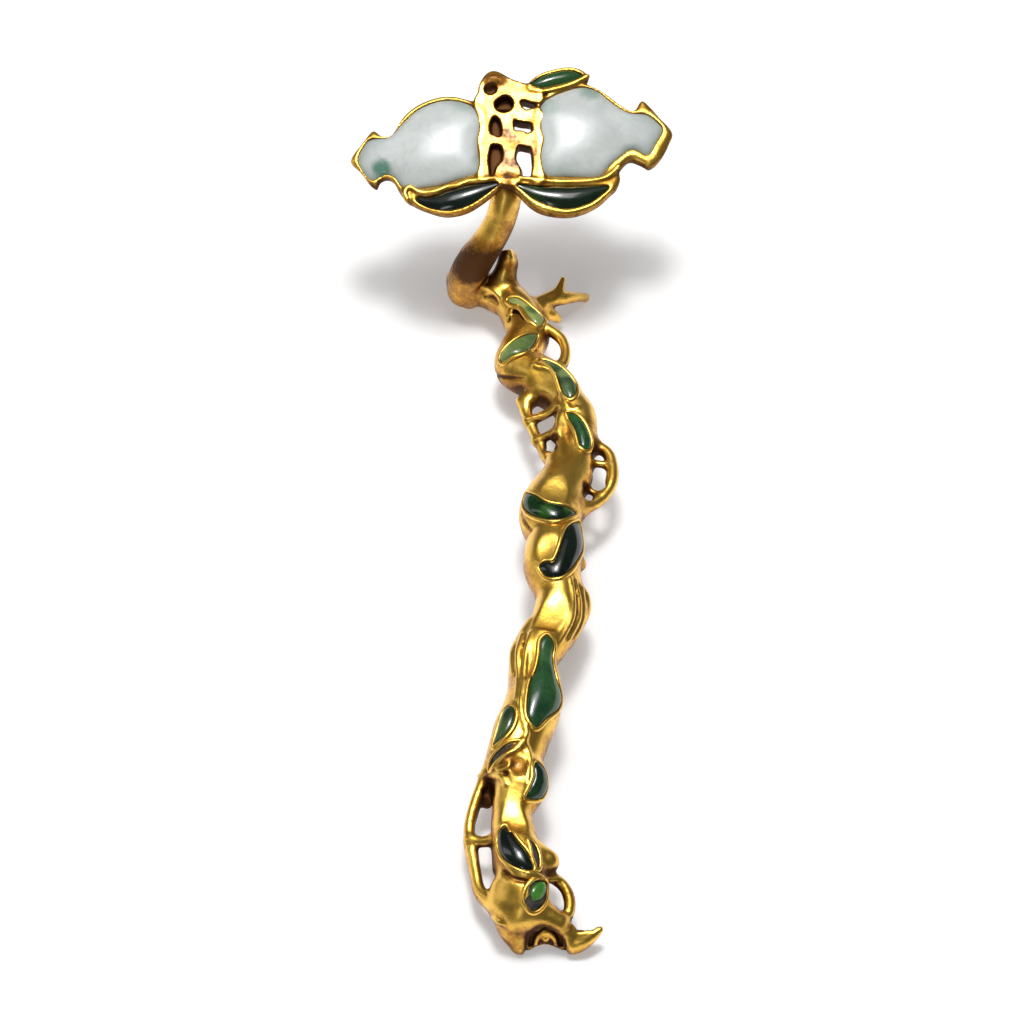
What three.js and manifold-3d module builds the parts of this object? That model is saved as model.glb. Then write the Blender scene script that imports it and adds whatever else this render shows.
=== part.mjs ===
// A gilt sceptre, cast in one piece as a gnarled branch and set with jade.
//
// Millimetres, +Z up. It lies on the plane z = 0 along Y, with its head towards +Y. A limb of
// the branch is a list of stations, each [x, y, z, radius]. The head has its own flat frame:
// `a` runs to the right, `b` runs away from the stem and `h` is the height over the rims of
// its trays. Once made, every piece moves by MIDDLE_Y, so that the origin ends up under the
// middle of the footprint.

import * as THREE from 'three';
import * as BufferGeometryUtils from 'three/addons/utils/BufferGeometryUtils.js';
import Module from 'manifold-3d';

const wasm = await Module();
wasm.setup();

// ---------------------------------------------------------------- driving sizes

const MIDDLE_Y = 3.3; // where the middle of the footprint falls along the stations

const FIT_GAP = 0.4; // clearance between a stone and its setting
const CLEAR = 2; // how far a cut stands over the surface that it opens

const HEAD_CENTRE = [0, 147.5, 72];
const HEAD_TILT = THREE.MathUtils.degToRad(18); // the face leans towards the stem
const LOBE_TILT = THREE.MathUtils.degToRad(5); // each half falls away from the middle

const TRAY_DEPTH = 5.5;
const TRAY_POCKET = 3.2;
const TRAY_EASE = { down: 1.6, across: 1.2 }; // the slope of its edges, above and below
const STONE_EDGE = -0.8; // where a head stone's dome starts, under the rims
const FRUIT_DOME = 5;
const LEAF_DOME = 2.4;
const CABOCHON = [[1, 0], [0.85, 0.5], [0.5, 0.88], [0, 1]]; // shares of the way out, and of the dome

const RIM_WIDTH = 1.2; // raised rim round each setting on the stem
const RIM_HEIGHT = 0.8;
const RIM_ROOT = 2;
const STONE_SEAT = 1.6; // how deep a stone is let into the stem
const STONE_DOME = 1.3;
const EMPTY_DEPTH = 0.7; // settings that have lost their stone

const STEM_SIDES = 11;
const STRAND_SIDES = 8; // neck, column and lopped branch
const LIMB_SIDES = 6;
const LEAF_SEGMENTS = 6;
const WIDE_LEAF = 4; // half width, mm, from which a leaf takes more faces across
const EYE_SIDES = [6, 12];
const HOLLOW_SIDES = [8, 6];

const CUT_BLOCK = 40; // more than the lopped branch is wide
const GROUND_BLOCK = 500; // more than the sceptre is long

// ---------------------------------------------------------------- the branch

const STEM = [
  [-17.5, 125, 13, 6], [-12, 124.5, 13, 6.5], [-4.5, 122, 14, 7], [1, 114.5, 15, 7.5],
  [4.5, 106.5, 15, 8], [6.5, 98, 16, 8], [3.5, 90, 16.5, 8.5], [2.2, 81.5, 17, 8.9], [9.5, 75.5, 18, 9.2],
  [16, 69.5, 19, 9], [21, 61.5, 20, 7.5], [24.5, 54.5, 20, 7.5], [25, 43, 20, 7.5],
  [24.5, 33, 20, 7], [22, 24, 20.5, 8.5], [18, 17, 21, 10.5], [15.3, 9, 21, 12],
  [14.5, 2, 22, 11.5], [16, -6.5, 23, 10], [15.5, -14.5, 23, 11], [15, -21.5, 23, 10.5],
  [16.5, -30, 23, 9], [17, -36.5, 23, 8.5], [16, -45.5, 23, 9], [12.5, -54, 23, 8.8],
  [8, -63.5, 23, 8.5], [8.5, -75.5, 22, 9.5], [7, -84.5, 21, 10.5], [3, -95.5, 20, 10.5],
  [1, -105.5, 19, 10], [3, -115.5, 19, 9.5], [0, -126.5, 18.5, 7], [1, -137.5, 18, 8],
  [3, -148, 17, 9], [3.5, -156.5, 15, 9], [4, -163.5, 12.5, 9],
];

// The strand in front of the pierced net, which carries on down into the broad collar.
const COLUMN = [
  [21, 56, 24, 3], [18.5, 46, 23.5, 3.5], [17.5, 38, 23, 4], [18, 28, 23, 5.5], [17, 19, 23, 7],
];

const NECK = [
  [-1, 141, 62.3, 5.2], [-1.5, 137.8, 61, 5.8], [-2.5, 133.5, 56.5, 6], [-4.5, 129.5, 49, 6],
  [-9, 126.5, 40, 6.3], [-14, 125, 31, 7], [-17.5, 125, 22, 7.2], [-19, 125, 13, 6.5],
];

const LIMBS = {
  heel: [[-20.5, 129, 13, 6], [-19.5, 129, 8, 6.2], [-17, 127.5, 3.4, 6]],
  twig: [
    [6, 112, 14, 4.5], [13, 119, 13, 3.2], [19.5, 122.5, 10.5, 2.6], [25.5, 127, 6, 2.1],
    [29, 131, 1.1, 1.9],
  ],
  twigProng: [[15.5, 120.5, 12.5, 2.6], [18.5, 125, 13, 1.9], [20, 129.5, 13.5, 1.2]],
  twigStub: [[11, 115.5, 12, 3], [15.5, 115.5, 8.5, 2.2], [18, 116, 5.5, 1.6]],
  upperLoop: [
    [10, 101.5, 19, 3], [14.5, 98, 20, 2.2], [19, 93.5, 20, 2.1], [20.8, 87, 20, 2], [19.5, 81, 20, 2.2],
    [16, 78, 20, 2.5],
  ],
  netEdge: [
    [13, 67, 20, 3], [7.5, 65, 19, 2.4], [5, 61.5, 18, 2], [6.4, 54.5, 18, 1.9], [8.2, 49, 18, 1.8],
    [10.8, 42, 18, 1.8], [13.6, 36, 18, 1.9], [17, 29.5, 19, 2.4], [20, 24, 20, 3],
  ],
  netNub: [[6, 62.5, 18, 2.2], [3.4, 63.8, 18, 1.6]],
  netUpperBar: [[6, 53, 18.5, 1.5], [12.5, 54.5, 21, 1.6], [19.5, 58, 24.5, 2]],
  netLowerBar: [[9, 43.5, 18.5, 1.5], [13.5, 44.5, 20.5, 1.5], [18, 45.5, 23, 1.8]],
  sideLoop: [
    [28, 42, 20, 2.6], [33, 39.5, 20, 2], [36.7, 35.5, 20, 2], [38, 28.5, 20, 2], [37.2, 21, 20, 2],
    [33, 14, 20, 2], [26, 9, 21, 2.6],
  ],
  sideLoopUpperBar: [[27, 30.5, 21, 1.8], [32, 31, 20.5, 1.2], [38, 30, 20, 1.3]],
  sideLoopLowerBar: [[26, 21, 20, 1.6], [30.5, 17.5, 20, 1.1], [34.5, 15.5, 20, 1.3]],
  sideBud: [[23, -17, 22, 2.5], [25.8, -17.5, 21, 2]],
  rightRidgeOuter: [
    [24, -26.5, 21, 1.6], [27, -32, 20, 2], [27, -39, 20, 2], [24, -46, 20, 2], [20, -53, 20, 1.8],
  ],
  rightRidgeInner: [
    [22.5, -27.5, 25, 1.6], [24.5, -33, 24, 2], [24, -41, 24, 2], [21, -48.5, 24, 2], [16, -59, 24, 1.8],
  ],
  leftRidgeOuter: [
    [4.5, -50, 22, 1.8], [1.4, -56.5, 20.5, 2], [1.2, -64, 20, 2], [0.6, -71, 20, 1.8],
    [0.5, -80, 20, 1.6],
  ],
  leftRidgeInner: [[7, -48.5, 26, 1.8], [4, -55, 26, 2], [3.2, -63.5, 25.5, 2], [2.5, -74, 25, 1.6]],
  handle: [
    [-3, -99, 20, 4], [-7, -105, 18, 3], [-10.5, -112.5, 16, 2.3], [-13.5, -121, 14, 2.1],
    [-15.3, -129, 12.5, 2.1], [-14.4, -138, 11.5, 2.3], [-13, -147, 11, 2.1], [-11.3, -155, 11, 2.3],
    [-6, -161.5, 12, 3.2],
  ],
  handleBar: [[-14.6, -134.5, 12, 2.4], [-10, -136, 13.5, 2], [-4, -136, 16, 2.5]],
  knuckle: [[8, -143.5, 17, 4.6], [12.2, -146.5, 16.5, 4.6]],
  footLoop: [
    [8, -151, 15, 2.6], [13.5, -151.5, 14.5, 2.2], [18.2, -154.5, 13, 2], [20.3, -159.5, 11.5, 2],
    [19.6, -165, 10, 2.2], [16, -168, 9.5, 3],
  ],
  footHeel: [[-1, -161, 12, 6.5], [0.5, -167, 7.5, 6], [3.5, -170.8, 2.6, 5]],
  footBridge: [[1, -168, 12.5, 4], [10, -167, 13, 4], [16, -168.5, 10.5, 4.2]],
  footArch: [[5.5, -169, 4.5, 3.6], [11.5, -169.5, 5, 3.8], [17.5, -169, 4.5, 3.6]],
  footClaw: [
    [8, -164, 11, 6.5], [15, -169, 7, 5.2], [20.5, -171.3, 3.3, 4.8], [26, -171.5, 5.5, 3.2],
    [31, -169.5, 8, 1.3],
  ],
  footEye: [[12.5, -170, 8, 2.6], [12.8, -172.3, 7.5, 2]],
};

// The end of a lopped side branch, cut across by a slanting plane.
const LOPPED = {
  stations: [[-5, 121.5, 14, 7], [-3, 124.5, 20, 5.2], [-1.2, 127, 25.5, 4.6], [0.6, 129, 30, 4.8]],
  cutPoint: [-0.6, 127.5, 26.2],
  cutNormal: [0.66, 0.1, 0.74],
};

// The hollow from which the stem comes out again under the first leaf.
const SLEEVE_HOLLOW = { centre: [0.5, 106.5, 22], radius: 3 };

// ---------------------------------------------------------------- outlines of the head

const LEFT_FRUIT_TRAY = [
  [-63, -3.5], [-59, 3], [-54.5, 9], [-50.5, 6.5], [-47, 7], [-42, 15], [-35.5, 20], [-25.5, 22.5],
  [-15.5, 20], [-11, 17], [-9, 11], [-9, 4.5], [-10.5, 1], [-10, -5.5], [-10, -13], [-16, -16],
  [-28, -19.5], [-35.5, -21.5], [-40, -22.5], [-43.5, -18.5], [-46, -13.8], [-48.5, -12], [-51, -12.8],
  [-52.5, -15.8], [-55.2, -14.3], [-59.5, -8.3],
];
const LEFT_FRUIT = [
  [-60, -3.5], [-57.5, 2.5], [-55, 4.8], [-49, 5], [-46, 7], [-42, 12], [-35.5, 17.5], [-26.5, 20.3],
  [-18.5, 19], [-13.5, 15.5], [-11, 11.5], [-11.5, 7.5], [-13, 2.5], [-13, -2.5], [-12, -8.5],
  [-13.5, -11.5], [-22, -14], [-29, -16], [-36, -17], [-40, -17.5], [-43, -15.5], [-45.5, -12],
  [-49, -10.5], [-52, -12], [-55, -12.5], [-58, -9],
];
const RIGHT_FRUIT_TRAY = [
  [8, 14.5], [10.5, 20], [17, 25], [26, 28.5], [33.5, 26], [39, 22], [45, 17.5], [48, 17.5], [50.5, 21.5],
  [53, 20.5], [58, 14.5], [63, 8.5], [61.5, 3], [58.5, -3], [54, -7.3], [50.5, -5.8], [46, -4.5], [42, -9.5],
  [40, -14], [34, -17], [26, -17.5], [17, -17.5], [9, -15], [8, -8.5], [7.5, -4], [8.5, 2.5], [7.5, 7],
];
const RIGHT_FRUIT = [
  [10, 13.5], [12.5, 19.3], [19, 23.3], [27, 26], [33.5, 24.5], [37.5, 21.2], [41.5, 18], [46, 15.8],
  [52, 15.5], [56.5, 12.5], [58.8, 9], [56, 3], [53, -2], [49.5, -0.8], [46.5, 0], [43, -2.5],
  [38.5, -6.5], [36.5, -9.5], [33.5, -12], [28, -12.5], [22, -12.5], [15, -12.5], [11.7, -10.5],
  [10.5, -4], [11.5, 2.5], [10.3, 7],
];
const LEFT_LEAF_TRAY = [
  [-1, -12.5], [-3.5, -16], [-9, -21.6], [-15.5, -26], [-22, -28.2], [-28.5, -28], [-35.5, -25.3],
  [-40.5, -21.5], [-40.5, -18.5], [-38, -16.5], [-34, -17.5], [-28, -16], [-16, -13], [-10, -12],
];
const LEFT_LEAF = [
  [-5, -15.5], [-15.5, -15.8], [-24.5, -18], [-29.5, -20], [-33, -20.6], [-36.5, -20], [-37.3, -21.8],
  [-34, -24.3], [-28.5, -26.4], [-22, -26.5], [-15.5, -24.3], [-9.5, -20],
];
const RIGHT_LEAF_TRAY = [
  [-1, -12.5], [10, -13], [34, -13], [38, -12], [38, -9], [41, -8.5], [42.5, -12], [41, -16.5], [38.5, -19],
  [33.5, -24], [26, -28], [19.5, -29], [12.5, -28], [7, -25.2], [2.5, -20.5], [-2, -16],
];
const RIGHT_LEAF = [
  [2, -16.3], [10, -16.7], [20, -16.5], [35, -15.5], [37.7, -16.3], [35, -19.6], [30, -23.5], [22, -26.2],
  [15, -25.3], [8.5, -22.3], [4.5, -19],
];
const TOP_LEAF_TRAY = [
  [5, 24], [6.5, 27.5], [10, 31], [15, 33.2], [22, 34.8], [27, 34], [30, 31.3], [29, 27.5], [17, 23],
  [10, 22],
];
const TOP_LEAF = [
  [7.3, 26], [10.5, 29.3], [15, 31.5], [21.5, 33], [26, 32.2], [28, 30], [23, 27.5], [17, 25.8],
  [11.5, 24.5],
];

// Bars of the knot between the fruits: [a, b, h, radius].
const KNOT_BARS = [
  [
    [-1.5, 14, -3, 2.2], [0.3, 10, -2.2, 1.8], [0.8, 5, -2.2, 1.8], [-0.5, 1, -2, 2.2],
    [-0.3, -6, -2.4, 1.8], [-0.5, -13, -2, 2.4],
  ],
  [[-10.5, 0.5, -2, 2], [-5, 0.2, -2.4, 1.6], [-0.5, 1, -2, 2]],
  [[0, 12.5, -2.6, 1.6], [5, 13.3, -2.8, 1.3], [9.5, 14, -2.2, 1.6]],
  [[0, 0.5, -2.6, 1.6], [5, 0.8, -2.8, 1.3], [9.5, 2, -2.2, 1.6]],
  [[-6, 29, -2, 3.2], [-2.5, 26.8, -2, 2.4], [3.5, 24.5, -2, 1.7], [9.5, 22.3, -2, 1.7]],
  [[-6, 29, -2, 3.2], [0, 27.4, -1.5, 1.4], [6, 26, -1.5, 1.2]],
  [[-6, 29, -2, 3.2], [-8, 25.5, -2, 2.4], [-11, 22, -2, 3]],
  [[-11, 22, -2.4, 2.6], [-9, 16.5, -2.8, 2.2], [-8.5, 12, -3, 2]],
];
const KNOT_EYE = { centre: [-2, 17.7, -2.4], radius: 5, wire: 1.8 };
const KNOT_BACK = { centre: [-5, -1, -6], size: [12, 28, 3.4] };

// ---------------------------------------------------------------- the stem's settings

// Each stone follows a spine laid on the stem: [x, y, z, half width].
const STEM_STONES = {
  stem_leaf_1: [
    [-1, 111, 22, 0.6], [2.5, 109.5, 23, 1.6], [6, 106.5, 23, 2.4], [9, 102, 23, 2.7], [10.5, 98, 23, 1.6],
  ],
  stem_leaf_2: [
    [9.5, 91.5, 23, 1], [6, 88.5, 24.5, 2.4], [2, 85, 25.5, 3.1], [-2, 81, 24, 2.6], [-2.8, 78.5, 23, 1],
  ],
  stem_leaf_3: [
    [11, 75.5, 27.5, 0.5], [14.5, 76, 27, 1.4], [17.5, 73.5, 27, 2.3], [20, 68, 27.5, 2.9],
    [21.5, 62.5, 27.5, 2.5], [21.5, 57.5, 27.5, 0.6],
  ],
  stem_leaf_4: [
    [21.5, 49.5, 26.5, 0.6], [24.5, 46.5, 27.5, 1.9], [27, 42, 27, 2.5], [28, 37, 26.5, 2.2],
    [27.5, 33.5, 26.5, 1.1],
  ],
  stem_leaf_5: [
    [5, 8, 30.5, 1.5], [9.5, 2, 32.5, 3.4], [14.5, -1.5, 33.5, 3.2], [19.5, -1.5, 32, 2.1],
    [23, 0.5, 30, 0.6],
  ],
  stem_leaf_6: [
    [24.5, -3, 28, 0.7], [22.5, -10, 31.5, 3], [21.5, -17, 32, 3.7], [19.5, -23.5, 32.5, 3.4],
    [16.5, -28.5, 32.5, 2.8], [12.5, -28, 32, 1.4],
  ],
  stem_gourd: [
    [13, -59, 32, 1.6], [13, -63.5, 30, 2.5], [12, -70, 30.5, 3.4], [11.5, -77.5, 31, 5.4],
    [11.5, -85, 30.5, 5.8], [9.5, -91, 30, 4.1], [7.5, -97, 29.5, 0.9],
  ],
  stem_leaf_7: [
    [-1, -88, 29, 1.4], [-1.5, -93, 29.5, 2.5], [-2.5, -98, 29, 2.5], [-5, -101.5, 27, 1.8],
    [-6.5, -103, 25.5, 0.6],
  ],
  stem_leaf_8: [
    [8, -108.5, 26.5, 0.6], [9, -112, 26.5, 1.6], [10, -116, 25.5, 2.3], [8.5, -120.5, 25, 2.1],
    [5.5, -124.5, 25, 0.9],
  ],
  stem_leaf_9: [
    [-3, -137, 25, 1.1], [-2, -142, 25, 2.7], [0.5, -147.5, 25.5, 3.4], [3.5, -152, 25.5, 2.8],
    [6.5, -155, 24, 0.9],
  ],
  stem_leaf_10: [[11, -157.5, 20, 0.9], [9.5, -161, 21, 2.1], [8, -163.5, 21, 1.9], [6.8, -165.5, 21, 0.8]],
};

// Settings, or ends of settings, that have lost their stone.
const EMPTY_SETTINGS = [
  [[2, -104, 29.5, 0.7], [-1.5, -106, 28.5, 1.3], [-4.5, -107.5, 27, 1.4], [-8, -108, 23, 0.7]],
  [[7, -145, 25, 0.6], [8.5, -147.5, 24, 1.1], [9, -150, 23.5, 1.2], [8.5, -153, 23.5, 0.6]],
  [[7.5, -166, 20.5, 1.4], [7, -167.5, 20, 1.2], [7, -169, 19, 0.5]],
];

// ---------------------------------------------------------------- solids

/** Turns a closed three.js geometry into a solid. */
function solid(geometry) {
  const bare = geometry.index ? geometry.clone() : BufferGeometryUtils.mergeVertices(geometry);
  bare.deleteAttribute('normal');
  bare.deleteAttribute('uv');
  const merged = BufferGeometryUtils.mergeVertices(bare, 1e-4);
  const corners = Array.from(merged.index.array);
  const faces = [];
  for (let i = 0; i < corners.length; i += 3) {
    const [p, q, r] = corners.slice(i, i + 3);
    if (p !== q && q !== r && r !== p) faces.push(p, q, r);
  }
  return new wasm.Manifold(new wasm.Mesh({
    numProp: 3,
    vertProperties: new Float32Array(merged.attributes.position.array),
    triVerts: new Uint32Array(faces),
  }));
}

/** Brings a solid back as a three.js geometry. */
function geometryOf(body) {
  const mesh = body.getMesh();
  const geometry = new THREE.BufferGeometry();
  geometry.setAttribute('position', new THREE.BufferAttribute(new Float32Array(mesh.vertProperties), 3));
  geometry.setIndex(new THREE.BufferAttribute(new Uint32Array(mesh.triVerts), 1));
  return geometry;
}

const join = (bodies) => bodies.reduce((whole, body) => whole.add(body));

// ---------------------------------------------------------------- limbs

const smooth = (points, closed = false) => new THREE.CatmullRomCurve3(points, closed, 'catmullrom', 0.5);

/** Cross-sections along a limb: its centre, direction, sideways direction and radius. */
function sectionsOf(stations, perSpan) {
  const line = smooth(stations.map(([x, y, z]) => new THREE.Vector3(x, y, z)));
  const girth = smooth(stations.map((station) => new THREE.Vector3(station[3], 0, 0)));
  const count = (stations.length - 1) * perSpan;
  const side = new THREE.Vector3(1, 0, 0);
  return Array.from({ length: count + 1 }, (_, i) => {
    const along = line.getTangent(i / count);
    if (i === 0 && Math.abs(along.x) > 0.9) side.set(0, 0, 1);
    side.addScaledVector(along, -side.dot(along)).normalize();
    const centre = line.getPoint(i / count);
    return { centre, along, side: side.clone(), radius: girth.getPoint(i / count).x };
  });
}

/** A capsule bent along a limb's line and swollen to its radii. */
function limb(stations, sides = LIMB_SIDES) {
  const sections = sectionsOf(stations, 1);
  const capsule = new THREE.CapsuleGeometry(1, 1, 1, sides, sections.length - 1);
  const position = capsule.attributes.position;
  const point = new THREE.Vector3();
  for (let i = 0; i < position.count; i++) {
    point.fromBufferAttribute(position, i);
    const place = THREE.MathUtils.clamp(point.y + 0.5, 0, 1);
    const overrun = point.y + 0.5 - place;
    const { centre, along, side, radius } = sections[Math.round(place * (sections.length - 1))];
    const across = side.clone().cross(along);
    const { x, z } = point;
    point.copy(centre)
      .addScaledVector(side, x * radius)
      .addScaledVector(across, z * radius)
      .addScaledVector(along, overrun * radius);
    position.setXYZ(i, point.x, point.y, point.z);
  }
  return solid(capsule);
}

// ---------------------------------------------------------------- settings let into the stem

/** The round skin of a limb: from any point, the nearest point on it and the way out. */
function limbSkin(stations) {
  const sections = sectionsOf(stations, 8);
  return (point) => {
    let best = { distance: Infinity };
    for (let i = 1; i < sections.length; i++) {
      const [start, end] = [sections[i - 1], sections[i]];
      const near = new THREE.Vector3();
      new THREE.Line3(start.centre, end.centre).closestPointToPoint(point, true, near);
      const share = near.distanceTo(start.centre) / end.centre.distanceTo(start.centre);
      const radius = THREE.MathUtils.lerp(start.radius, end.radius, share);
      const distance = point.distanceTo(near) - radius;
      if (distance < best.distance) best = { distance, near, radius };
    }
    const outward = point.clone().sub(best.near).normalize();
    return { foot: best.near.clone().addScaledVector(outward, best.radius), outward };
  };
}

const stemSkin = limbSkin(STEM);

/**
 * A segmented box laid on the stem along a leaf's spine, its half width following the
 * stations. Its underside lies `seat` below the skin, its edge `edge` above it, and its
 * back rises by `crown` more to the midline.
 */
function laidLeaf(spine, { grow = 0, seat, edge, crown = 0, across = 1 }) {
  const faces = Math.max(...spine.map((station) => station[3])) > WIDE_LEAF ? 2 * across : across;
  const line = smooth(spine.map(([x, y, z]) => new THREE.Vector3(x, y, z)));
  const girth = smooth(spine.map((station) => new THREE.Vector3(station[3], 0, 0)));
  const box = new THREE.BoxGeometry(2, 2, 2, faces, 1, LEAF_SEGMENTS);
  const position = box.attributes.position;
  for (let i = 0; i < position.count; i++) {
    const [x, y, z] = [position.getX(i), position.getY(i), position.getZ(i)];
    const share = (1 + Math.sin((Math.PI / 2) * z)) / 2;
    const along = line.getTangent(share);
    const onSpine = line.getPoint(share).addScaledVector(along, Math.trunc(z) * grow);
    const { outward } = stemSkin(onSpine);
    const side = outward.clone().cross(along).normalize();
    onSpine.addScaledVector(side, x * (girth.getPoint(share).x + grow));
    const landed = stemSkin(onSpine);
    const height = edge + crown * (1 - x * x) * Math.sqrt(4 * share * (1 - share));
    landed.foot.addScaledVector(landed.outward, y < 0 ? -seat : height);
    position.setXYZ(i, landed.foot.x, landed.foot.y, landed.foot.z);
  }
  return solid(box);
}

const rim = (spine) => laidLeaf(spine, { grow: RIM_WIDTH, seat: RIM_ROOT, edge: RIM_HEIGHT });
const pocket = (spine) =>
  laidLeaf(spine, { grow: FIT_GAP, seat: STONE_SEAT + FIT_GAP, edge: CLEAR, across: 2 });
const emptyPocket = (spine) => laidLeaf(spine, { seat: EMPTY_DEPTH, edge: CLEAR });
const stemStone = (spine) => laidLeaf(spine, { seat: STONE_SEAT, edge: 0, crown: STONE_DOME, across: 2 });

// ---------------------------------------------------------------- the head

const headMatrix = new THREE.Matrix4()
  .makeTranslation(...HEAD_CENTRE)
  .multiply(new THREE.Matrix4().makeRotationX(HEAD_TILT));
const lobeMatrix = (side) => headMatrix.clone().multiply(new THREE.Matrix4().makeRotationY(side * LOBE_TILT));

/** A station [a, b, h, radius] of the head in the sceptre's own frame. */
function onHead([a, b, h, radius]) {
  const point = new THREE.Vector3(a, b, h).applyMatrix4(lobeMatrix(Math.sign(a)));
  return [point.x, point.y, point.z, radius];
}

/** A shallow tray: its outline extruded down from the rims, with both edges eased. */
function tray({ tray: outline, side }) {
  const shape = new THREE.Shape(outline.map(([a, b]) => new THREE.Vector2(a, b)));
  const geometry = new THREE.ExtrudeGeometry(shape, {
    depth: TRAY_DEPTH - 2 * TRAY_EASE.down,
    steps: 1,
    bevelEnabled: true,
    bevelThickness: TRAY_EASE.down,
    bevelSize: TRAY_EASE.across,
    bevelOffset: -TRAY_EASE.across,
    bevelSegments: 1,
  });
  geometry.translate(0, 0, TRAY_EASE.down - TRAY_DEPTH);
  return solid(geometry.applyMatrix4(lobeMatrix(side)));
}

/** A lathed disc stretched to an outline of the head, from profile points [share, h]. */
function headDisc(outline, side, profile, grow = 0) {
  const count = outline.length;
  const corners = outline.map(([a, b]) => new THREE.Vector2(a, b));
  const middle = corners.reduce((sum, corner) => sum.add(corner), new THREE.Vector2()).divideScalar(count);
  if (THREE.ShapeUtils.isClockWise(corners)) corners.reverse();
  const edge = corners.map((corner, i) => {
    const onward = corners[(i + 1) % count].clone().sub(corner).normalize();
    const run = corner.clone().sub(corners[(i + count - 1) % count]).normalize().add(onward).normalize();
    return corner.clone().add(new THREE.Vector2(run.y, -run.x).multiplyScalar(grow));
  });
  const disc = new THREE.LatheGeometry(profile.map(([share, h]) => new THREE.Vector2(share, h)), count);
  const position = disc.attributes.position;
  for (let i = 0; i < position.count; i++) {
    const [x, y, z] = [position.getX(i), position.getY(i), position.getZ(i)];
    const index = (Math.round((Math.atan2(x, z) / (2 * Math.PI)) * count) + count) % count;
    const place = middle.clone().lerp(edge[index], Math.hypot(x, z));
    position.setXYZ(i, place.x, place.y, y);
  }
  return solid(disc.applyMatrix4(lobeMatrix(side)));
}

const headPocket = ({ stone, side }) =>
  headDisc(stone, side, [[0, -TRAY_POCKET], [1, -TRAY_POCKET], [1, CLEAR], [0, CLEAR]], FIT_GAP);

/** A cabochon: flat below, upright at its edge, then domed to its middle. */
const headStone = ({ stone, side, dome }) =>
  headDisc(stone, side, [
    [0, FIT_GAP - TRAY_POCKET],
    [1, FIT_GAP - TRAY_POCKET],
    ...CABOCHON.map(([share, rise]) => [share, STONE_EDGE + dome * rise]),
  ]);

const HEAD_PARTS = {
  pomegranate_left: { tray: LEFT_FRUIT_TRAY, stone: LEFT_FRUIT, side: -1, dome: FRUIT_DOME },
  pomegranate_right: { tray: RIGHT_FRUIT_TRAY, stone: RIGHT_FRUIT, side: 1, dome: FRUIT_DOME },
  head_leaf_left: { tray: LEFT_LEAF_TRAY, stone: LEFT_LEAF, side: -1, dome: LEAF_DOME },
  head_leaf_right: { tray: RIGHT_LEAF_TRAY, stone: RIGHT_LEAF, side: 1, dome: LEAF_DOME },
  head_leaf_top: { tray: TOP_LEAF_TRAY, stone: TOP_LEAF, side: 1, dome: LEAF_DOME },
};

function knot() {
  const eye = new THREE.TorusGeometry(KNOT_EYE.radius, KNOT_EYE.wire, ...EYE_SIDES);
  const back = new THREE.BoxGeometry(...KNOT_BACK.size);
  return join([
    ...KNOT_BARS.map((bar) => limb(bar.map(onHead))),
    solid(eye.translate(...KNOT_EYE.centre).applyMatrix4(headMatrix)),
    solid(back.translate(...KNOT_BACK.centre).applyMatrix4(headMatrix)),
  ]);
}

// ---------------------------------------------------------------- the casting

function loppedBranch() {
  const { stations, cutPoint, cutNormal } = LOPPED;
  const normal = new THREE.Vector3(...cutNormal).normalize();
  const block = new THREE.BoxGeometry(CUT_BLOCK, CUT_BLOCK, CUT_BLOCK);
  block.applyQuaternion(new THREE.Quaternion().setFromUnitVectors(new THREE.Vector3(0, 0, 1), normal));
  block.translate(...new THREE.Vector3(...cutPoint).addScaledVector(normal, CUT_BLOCK / 2).toArray());
  return limb(stations, STRAND_SIDES).subtract(solid(block));
}

function sleeveHollow() {
  const hollow = new THREE.SphereGeometry(SLEEVE_HOLLOW.radius, ...HOLLOW_SIDES);
  return solid(hollow.translate(...SLEEVE_HOLLOW.centre));
}

/** Everything below the surface that the sceptre lies on. */
function ground() {
  const block = new THREE.BoxGeometry(GROUND_BLOCK, GROUND_BLOCK, GROUND_BLOCK);
  return solid(block.translate(0, 0, -GROUND_BLOCK / 2));
}

function casting() {
  const headParts = Object.values(HEAD_PARTS);
  const stones = Object.values(STEM_STONES);
  const metal = join([
    limb(STEM, STEM_SIDES),
    ...[COLUMN, NECK].map((stations) => limb(stations, STRAND_SIDES)),
    ...Object.values(LIMBS).map((stations) => limb(stations)),
    loppedBranch(),
    knot(),
    ...headParts.map(tray),
    ...[...stones, ...EMPTY_SETTINGS].map(rim),
  ]);
  return metal.subtract(join([
    ground(),
    sleeveHollow(),
    ...headParts.map(headPocket),
    ...stones.map(pocket),
    ...EMPTY_SETTINGS.map(emptyPocket),
  ]));
}

// ---------------------------------------------------------------- materials and the model

const finish = (color, roughness, metalness) =>
  new THREE.MeshStandardMaterial({ color, roughness, metalness });
const GILT = finish(0xc8941f, 0.3, 1);
const JADEITE = finish(0xc6d0cc, 0.15, 0);
const DARK_JADE = finish(0x14241c, 0.12, 0);
const GREEN_JADE = finish(0x2f6b3d, 0.15, 0);
const PALE_JADE = finish(0x6f9a5e, 0.15, 0);

const STONE_FINISH = {
  pomegranate_left: JADEITE,
  pomegranate_right: JADEITE,
  head_leaf_left: DARK_JADE,
  head_leaf_right: DARK_JADE,
  stem_leaf_1: PALE_JADE,
  stem_leaf_2: PALE_JADE,
  stem_leaf_5: DARK_JADE,
  stem_leaf_6: DARK_JADE,
  stem_leaf_9: DARK_JADE,
};

const sceptre = new THREE.Group();

function addPiece(name, body, material) {
  const mesh = new THREE.Mesh(geometryOf(body).translate(0, -MIDDLE_Y, 0), material);
  mesh.name = name;
  sceptre.add(mesh);
}

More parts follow.
